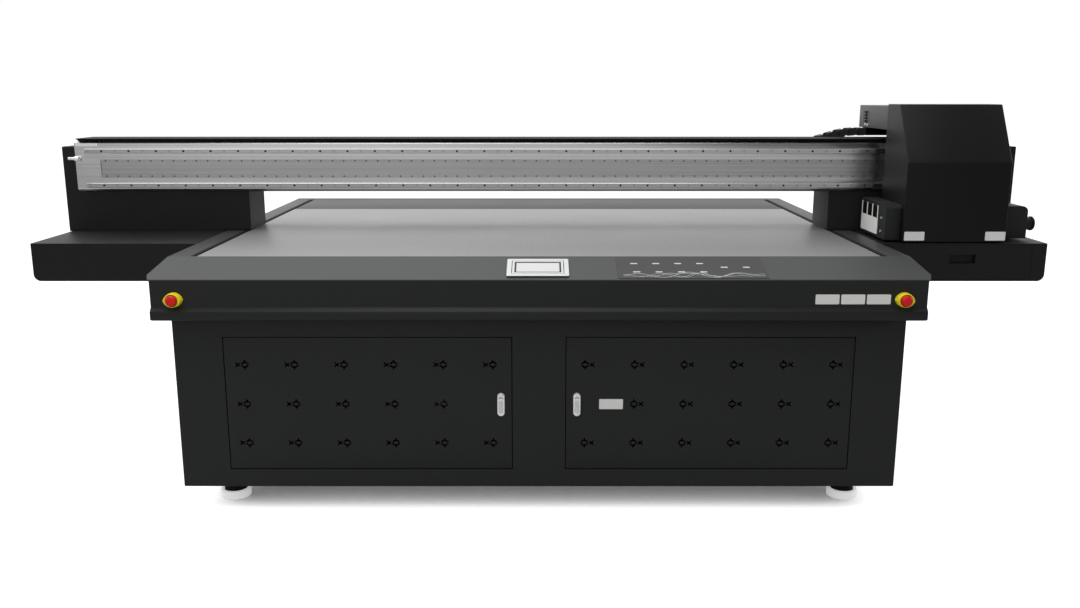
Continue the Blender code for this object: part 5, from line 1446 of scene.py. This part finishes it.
@dataclass
class Gantry:
    """Beam with its rails and motor track, wings, shields and drawer."""

    repeat: Repeat
    rail_pitch: float = 0.060
    rail_first: float = 0.016
    bore: float = 0.0052
    track_pitch: float = 0.050
    track_spread: float = 0.0335  # screws' rows from the track's middle
    peg_share: float = 0.72  # of the end buffers' length

    def build(self) -> None:
        """Makes and dresses every part that moves with the gantry."""
        self.beam()
        self.rails()
        self.track()
        self.covers()
        self.drawer()
        self.buffers()
        dress(ALLOY, "gantry_leg_left", "gantry_leg_right")
        dress(RAIL_METAL, "y_truck_left", "y_truck_right")
        dress(WHITE, "ink_tanks")

    def beam(self) -> None:
        """Rounds the beam, and adds a bright chrome strip at its left end: a painted highlight."""
        present(rounded_copy("gantry_beam", 0.0015), BEAM_METAL, "gantry", "alloy", "gantry_beam")
        low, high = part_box("gantry_beam")
        # A bright strip on the beam's front at its left end: painted highlight.
        bm = bmesh.new()
        corner = (low.x + 0.006, low.y - 0.0012, high.z - 0.0245)
        add_block(bm, corner, (low.x + 0.104, low.y - 0.0001, high.z - 0.0125), 0.0005)
        present(to_object("beam_end_plate", bm), CHROME, "gantry", "alloy")

    def rails(self) -> None:
        """Counterbores both rails, and sets a screw in every second hole and a cap in each of the others."""
        screws, caps = [], []
        for node in ("x_rail_upper", "x_rail_lower"):
            low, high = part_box(node)
            middle = (low.z + high.z) / 2
            bm = bmesh.new()
            edge = 0.0012
            profile = [
                (low.y + edge, low.z), (high.y, low.z), (high.y, high.z), (low.y + edge, high.z),
                (low.y, high.z - edge), (low.y, low.z + edge),
            ]
            add_slab(bm, profile, sideways, low.x, high.x)
            rail = to_object(f"{node}_bar", bm)
            count = int((high.x - low.x - 2 * self.rail_first) / self.rail_pitch) + 1
            start = (low.x + self.rail_first, low.y - 0.001, middle)
            bm = bmesh.new()
            add_turned(bm, [(self.bore, 0), (self.bore, 0.0065)], (0, 0, 0), (0, 1, 0), 12)
            step = (self.rail_pitch, 0, 0)
            carve(rail, self.repeat.in_rows(f"{node}_bores", to_object("bore", bm), RAIL_METAL, start, count, step))
            present(soften(rail, 25), RAIL_METAL, "gantry", "rail_steel", node)
            head = cap_screw(0.0044, 0.0030, (0, -1, 0))
            step = (2 * self.rail_pitch, 0, 0)
            place = (start[0] + self.rail_pitch, low.y + 0.0054, middle)
            screws.append(self.repeat.in_rows(f"{node}_screws", head, BOLT, place, count // 2, step))
            bm = bmesh.new()
            profile = [(0, 0), (0.0050, 0), (0.0050, 0.0030), (0.0045, 0.0034), (0, 0.0034)]
            add_turned(bm, profile, (0, 0, 0), (0, -1, 0), 12)
            cap, place = to_object("cap", bm), (start[0], low.y + 0.0044, middle)
            caps.append(self.repeat.in_rows(f"{node}_caps", cap, TRACK_METAL, place, (count + 1) // 2, step))
        present(joined("rail_screws", screws), BOLT, "gantry", "frame_steel")
        present(joined("rail_caps", caps), TRACK_METAL, "gantry", "rail_steel")

    def track(self) -> None:
        """Lays the motor's magnet track with its cover band and two rows of screws."""
        dress(TRACK_METAL, "x_magnet_track")
        low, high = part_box("x_magnet_track")
        middle = (low.z + high.z) / 2
        rows = []
        count = int((high.x - low.x - 0.04) / self.track_pitch) + 1
        for z in (middle - self.track_spread, middle + self.track_spread):
            head = cap_screw(0.0030, 0.0016, (0, -1, 0), 8)
            place, step = (low.x + 0.022, low.y - 0.0001, z), (self.track_pitch, 0, 0)
            rows.append(self.repeat.in_rows(f"track_screws_{z:.3f}", head, BOLT, place, count, step))
        present(joined("track_screws", rows), BOLT, "gantry", "frame_steel")

    def covers(self) -> None:
        """Bends the folds of the wings, shields and tray."""
        for word in SIDES:
            present(rounded_copy(f"wing_{word}", 0.006), COVER_BLACK, "gantry", "black_covers", f"wing_{word}")
            shield = f"leg_shield_{word}"
            present(rounded_copy(shield, 0.003), COVER_BLACK, "gantry", "black_covers", shield)
        present(rounded_copy("chain_tray", 0.0015), TRAY_BLACK, "gantry", "black_covers", "chain_tray")

    def drawer(self) -> None:
        """Rounds the drawer, and dresses the capping station behind it."""
        present(rounded_copy("wing_drawer", 0.0015), COVER_BLACK, "drawer", "black_covers", "wing_drawer")
        dress(DARK_ALLOY, "capping_station")

    def buffers(self) -> None:
        """Turns the end buffers: a bright peg with a thicker head."""
        for word, side in SIDES.items():
            node = f"end_buffer_{word}"
            low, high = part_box(node)
            y, z = (low.y + high.y) / 2, (low.z + high.z) / 2
            radius = (high.z - low.z) / 2
            outer = low.x if side < 0 else high.x
            reach = (high.x - low.x) * self.peg_share
            bm = bmesh.new()
            profile = [
                (0, 0), (0.0055, 0), (0.0065, 0.001), (0.0065, reach * 0.62), (radius * 0.94, reach * 0.63),
                (radius, reach * 0.65), (radius, reach * 0.93), (radius * 0.9, reach), (0, reach),
            ]
            add_turned(bm, profile, (outer, y, z), (-side, 0, 0), 28)
            present(soften(to_object(f"{node}_peg", bm)), CHROME, "gantry", "rail_steel", node)


@dataclass
class EnergyChain:
    """Cable chain in its tray behind the beam."""

    repeat: Repeat
    pitch: float = 0.046
    wall: float = 0.005
    height: float = 0.035
    link_half: float = 0.0172
    climb: float = 0.250  # length over which the upper run rises
    level: float = 0.055  # its level end, at the arm
    keep: float = 0.0856  # share of its length left when the carriage is at the left

    def build(self) -> None:
        """Makes the three runs of links."""
        low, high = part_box("chain_lower")
        height, width = self.height, high.y - low.y
        middle, y = low.z + height / 2, (low.y + high.y) / 2
        self.run("chain_lower", "chain_lower_links", "gantry", [(low.x, y, middle), (0.0, y, middle)], width)
        loop_low, loop_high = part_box("chain_loop")
        radius = (loop_high.z - loop_low.z - height) / 2
        centre = Vector((loop_high.x, y, (loop_low.z + loop_high.z) / 2))
        arc = [centre + radius * Vector((-math.sin(a), 0, -math.cos(a))) for a in
               (math.pi * i / 16 for i in range(17))]
        self.run("chain_loop", "chain_loop_links", "chain_bend", arc, width)
        low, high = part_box("chain_upper")
        base = low.z + height / 2
        rise = high.z - low.z - height
        run, end = self.climb, high.x - self.level
        path = [(low.x, y, base)]
        for i in range(9):
            share = i / 8
            path.append((end - run + run * share, y, base + rise * share * share * (3 - 2 * share)))
        path.append((high.x, y, base + rise))
        links = self.run("chain_upper", "chain_upper_links", "carriage", path, high.y - low.y)
        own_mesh(links)

    def link(self, width: float) -> bpy.types.Object:
        """One link: two waisted side plates and two cross bars.

        Args:
            width: The chain's width.

        Returns:
            The part, its length along X.
        """
        bm = bmesh.new()
        half, tall = self.pitch / 2, self.link_half
        plate = [
            (-half * 0.98, -tall * 0.72), (-half * 0.70, -tall), (half * 0.62, -tall), (half * 0.98, -tall * 0.55),
            (half * 0.98, tall * 0.55), (half * 0.62, tall), (-half * 0.70, tall), (-half * 0.98, tall * 0.72),
        ]
        for side in (-1, 1):
            outer = side * width / 2
            add_slab(bm, plate, front, outer, outer - side * self.wall)
            pin = [(0, 0), (0.0055, 0), (0.0045, 0.0006), (0, 0.0006)]
            add_turned(bm, pin, (-half * 0.45, outer - side * 0.0006, 0), (0, side, 0), 8)
        near, far = -half * 0.30, half * 0.40
        for z in (-tall + 0.0016, tall - 0.0016):
            bar = [(near, z - 0.0015), (far, z - 0.0015), (far, z + 0.0015), (near, z + 0.0015)]
            add_slab(bm, bar, front, -width / 2 + self.wall, width / 2 - self.wall)
        return to_object("link", bm)

    def run(
        self, node: str, name: str, body: str, path: Sequence[Sequence[float]], width: float
    ) -> bpy.types.Object:
        """Sets links along one run of the chain.

        Args:
            node: The CAD node that the links replace.
            name: The new piece's name.
            body: The body that carries it.
            path: Points along the chain's middle.
            width: The chain's width.

        Returns:
            The piece.
        """
        points = [Vector(p) for p in path]
        length = sum((b - a).length for a, b in zip(points, points[1:]))
        count = max(2, round(length / self.pitch))
        inset = self.pitch / 2
        first = points[0] + (points[1] - points[0]).normalized() * inset
        last = points[-1] + (points[-2] - points[-1]).normalized() * inset
        part = self.link(width)
        links = self.repeat.along(name, part, CHAIN_PLASTIC, [first, *points[1:-1], last], count)
        bpy.data.objects.remove(part)
        return present(links, CHAIN_PLASTIC, body, "black_plastic", node)


@dataclass
class PrintHead:
    """Carriage with its arm, and the head with its hood and lamps."""

    repeat: Repeat
    label_size: Flat = (0.083, 0.0365)
    arm_height: float = 0.100

    def build(self) -> None:
        """Makes and dresses every part that moves with the carriage."""
        present(rounded_copy("hood", 0.0035), HOOD_BLACK, "head", "black_covers", "hood")
        arm = present(rounded_copy("rear_arm", 0.002), LIT_ARM_GREY, "carriage", "black_covers", "rear_arm")
        # Faces below the arm's top band take matt black: painted shade under the grey top, which is painted light.
        arm.data.materials.append(TRAY_BLACK.material())
        for face in arm.data.polygons:
            if face.center.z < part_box("rear_arm")[1].z - self.arm_height + 0.0005:
                face.material_index = 1
        dress(ALLOY, "carriage_plate", "head_frame")
        dress(RAIL_METAL, "x_truck_upper", "x_truck_lower")
        dress(PLASTIC, "print_heads")
        present(rounded_copy("lamp_left", 0.004), BLACK, "head", "black_covers", "lamp_left")
        present(rounded_copy("lamp_right", 0.010), BLACK, "head", "black_covers", "lamp_right")
        self.labels()
        self.lamp_side()
        self.connectors()

    def labels(self) -> None:
        """Sticks two plain plates low on the hood's front."""
        low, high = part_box("hood")
        bm = bmesh.new()
        for left in (low.x + 0.006, high.x - 0.002 - self.label_size[0]):
            add_label(bm, (left, low.z + 0.005), self.label_size, low.y)
        present(to_object("hood_labels", bm), PLATE, "head", "enclosure_white")

    @staticmethod
    def lamp_side() -> None:
        """Builds the left lamp's side: pale plate, ribs between slots, slots drawn as dark slabs of painted shade, and
        a bright screw.
        """
        low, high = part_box("lamp_left")
        x = low.x
        face = x - 0.0001
        bm = bmesh.new()
        front_y, back_y = low.y + 0.092, high.y - 0.004
        plate_top, rib_top = low.z + 0.080, high.z - 0.014
        outline = rounded_outline((front_y, low.z + 0.012), (back_y, plate_top), 0.004, 3)
        add_slab(bm, outline, sideways, face, x - 0.0016)
        pitch = (back_y - front_y - 0.010) / 3
        for i in range(4):
            y = front_y + 0.005 + i * pitch
            outline = rounded_outline((y - 0.0045, plate_top - 0.001), (y + 0.0045, rib_top), 0.002, 2)
            add_slab(bm, outline, sideways, face, x - 0.0014)
        present(to_object("lamp_plate", bm), WHITE, "head", "enclosure_white")
        # The slots are flat near-black slabs on the lamp's side: painted shade, not openings.
        bm = bmesh.new()
        for i in range(3):
            y = front_y + 0.012 + i * pitch
            outline = rounded_outline((y, plate_top + 0.003), (y + pitch - 0.014, rib_top - 0.004), 0.003, 2)
            add_slab(bm, outline, sideways, face, x - 0.0005)
        present(to_object("lamp_slots", bm), DARK, "head", "black_plastic")
        bm = bmesh.new()
        for y, z in ((low.y + 0.050, low.z + 0.086), (low.y + 0.050, low.z + 0.030)):
            profile = [(0, 0), (0.0065, 0), (0.0065, 0.0022), (0.005, 0.003), (0, 0.003)]
            add_turned(bm, profile, (face, y, z), (-1, 0, 0), 16)
        present(soften(to_object("lamp_screws", bm)), BRIGHT_BOLT, "head", "rail_steel")
        low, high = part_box("lamp_right")
        middle = Vector((high.x, low.y + 0.060, 1.030))
        bm = bmesh.new()
        rim = [(0.0275, -0.012), (0.0300, -0.012), (0.0300, -0.004), (0.0275, -0.003)]
        add_ring(bm, rim, middle, (1, 0, 0))
        present(soften(to_object("lamp_port_rim", bm)), RUBBER, "head", "black_plastic")

    @staticmethod
    def connectors() -> None:
        """Adds the row of connectors and two bright screws to the arm's left face."""
        low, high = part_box("rear_arm")
        x, y = low.x, high.y - 0.095
        bm = bmesh.new()
        for i in range(4):
            z = high.z - 0.030 - i * 0.0135
            add_block(bm, (x - 0.008, y - 0.014, z - 0.005), (x - 0.0001, y + 0.014, z + 0.005), 0.0012)
        present(to_object("arm_connectors", bm), PLASTIC, "carriage", "black_plastic")
        bm = bmesh.new()
        for shift, z in ((0.0, high.z - 0.085), (-0.030, high.z - 0.088)):
            profile = [(0, 0), (0.0065, 0), (0.0065, 0.003), (0.005, 0.004), (0, 0.004)]
            add_turned(bm, profile, (x - 0.0001, y + shift, z), (-1, 0, 0), 14)
        present(soften(to_object("arm_screws", bm)), BRIGHT_BOLT, "carriage", "rail_steel")


# ---------------------------------------------------------------- floor, light and camera
@dataclass
class Studio:
    """Pale floor, soft light and the camera."""

    camera_place: Point = (0.0, -4.625, 1.576)
    camera_tilt: float = 77.9
    lens: float = 33.0
    shift: float = 0.001
    floor_size: float = 60.0

    def build(self) -> None:
        """Sets up everything round the printer."""
        bpy.context.scene.view_settings.view_transform = "Standard"
        self.camera()
        self.world()
        self.floor()
        self.lamps()

    def camera(self) -> None:
        """Places the camera."""
        data = bpy.data.cameras.new("camera")
        data.lens = self.lens
        data.sensor_width = 36.0
        data.clip_end = 200.0
        data.shift_x = self.shift
        camera = bpy.data.objects.new("camera", data)
        camera.location = self.camera_place
        camera.rotation_euler = (math.radians(self.camera_tilt), 0.0, 0.0)
        bpy.context.scene.collection.objects.link(camera)
        bpy.context.scene.camera = camera

    @staticmethod
    def world() -> None:
        """White surroundings for the eye and for gloss, and a plain level of fill light."""
        world = bpy.data.worlds.new("studio")
        bpy.context.scene.world = world
        world.use_nodes = True
        bench = Bench(world.node_tree)
        path = bench.add("ShaderNodeLightPath").outputs
        way = bench.add("ShaderNodeSeparateXYZ", {0: bench.add("ShaderNodeTexCoord").outputs["Generated"]}).outputs
        behind = bench.add("ShaderNodeMapRange", {0: way[1], 1: -0.2, 2: 0.35, 3: 0.58, 4: 1.0}).outputs[0]
        across = bench.add("ShaderNodeMapRange", {0: way[0], 1: -0.45, 2: 0.40, 3: 1.08, 4: 0.98}).outputs[0]
        left = bench.add("ShaderNodeMapRange", {0: way[0], 1: -0.440, 2: -0.385, 3: 0.30, 4: 1.0}).outputs[0]
        right = bench.add("ShaderNodeMapRange", {0: way[0], 1: 0.27, 2: 0.36, 3: 1.0, 4: 0.06}).outputs[0]
        ends = bench.maths("MULTIPLY", left, right)
        facing = bench.add("ShaderNodeMapRange", {0: way[1], 1: -0.3, 2: 0.1, 3: 0.0, 4: 1.0}).outputs[0]
        behind = bench.maths("MULTIPLY", bench.maths("MULTIPLY", behind, across), bench.maths("MAXIMUM", ends, facing))
        sheen = bench.maths("MAXIMUM", path["Is Glossy Ray"], path["Is Transmission Ray"])
        shade = bench.add("ShaderNodeCombineColor", {0: behind, 1: behind, 2: behind}).outputs[0]
        lit = bench.blend(sheen, (0.55, 0.55, 0.55, 1.0), shade)
        seen = bench.blend(path["Is Camera Ray"], lit, (1.0, 1.0, 1.0, 1.0))
        background = world.node_tree.nodes["Background"]
        bench.tree.links.new(seen, background.inputs["Color"])
        background.inputs["Strength"].default_value = 1.0

    def floor(self) -> None:
        """Lays the floor, white to the eye, with the shadow under the printer kept."""
        bm = bmesh.new()
        half = self.floor_size / 2
        bm.faces.new([bm.verts.new((a * half, b * half, 0.0)) for a, b in ((-1, -1), (1, -1), (1, 1), (-1, 1))])
        floor = to_object("floor", bm, outward=False)
        material = bpy.data.materials.new("floor")
        material.use_nodes = True
        bench = Bench(material.node_tree)
        shader = material.node_tree.nodes["Principled BSDF"]
        shader.inputs["Base Color"].default_value = (0.5, 0.5, 0.5, 1.0)
        shader.inputs["Roughness"].default_value = 0.9
        shader.inputs["Specular IOR Level"].default_value = 0.0
        near = bench.add("ShaderNodeAmbientOcclusion", {"Distance": 0.35}, samples=12)
        open_air = bench.add("ShaderNodeMapRange", {0: near.outputs["AO"], 1: 0.11, 2: 0.32, 3: 0.04, 4: 0.92})
        path = bench.add("ShaderNodeLightPath").outputs
        eye = bench.maths("MULTIPLY", open_air.outputs[0], path["Is Camera Ray"])
        shader.inputs["Emission Color"].default_value = (1.0, 1.0, 1.0, 1.0)
        bench.tree.links.new(eye, shader.inputs["Emission Strength"])
        floor.data.materials.append(material)

    @staticmethod
    def lamps() -> None:
        """Hangs four soft lamps."""
        for name, place, aim, size, power in (
            ("overhead", (-0.9, -1.0, 4.6), (-0.3, -0.7, 0.8), (5.5, 4.4), 142.0),
            ("front", (-2.2, -5.5, 3.2), (0.0, 0.0, 0.8), (3.5, 2.5), 20.0),
            ("left", (-5.0, 0.5, 2.8), (0.0, -0.3, 1.0), (2.5, 2.5), 75.0),
            ("right", (5.0, 0.2, 2.2), (0.0, -0.2, 1.0), (2.5, 2.0), 48.0),
        ):
            data = bpy.data.lights.new(name, "AREA")
            data.shape = "RECTANGLE"
            data.size, data.size_y = size
            data.energy = power
            lamp = bpy.data.objects.new(name, data)
            lamp.location = place
            lamp.rotation_euler = (Vector(aim) - Vector(place)).to_track_quat("-Z", "Y").to_euler()
            bpy.context.scene.collection.objects.link(lamp)


def main() -> None:
    """Builds every sub-assembly in order."""
    logging.basicConfig(level=logging.INFO, format="%(name)s %(message)s")
    Studio().build()
    repeat = Repeat()
    for part in (Table(repeat), Cabinet(repeat), Gantry(repeat), EnergyChain(repeat), PrintHead(repeat)):
        LOG.info("building the %s", type(part).__name__)
        part.build()


if __name__ == "__main__":
    main()
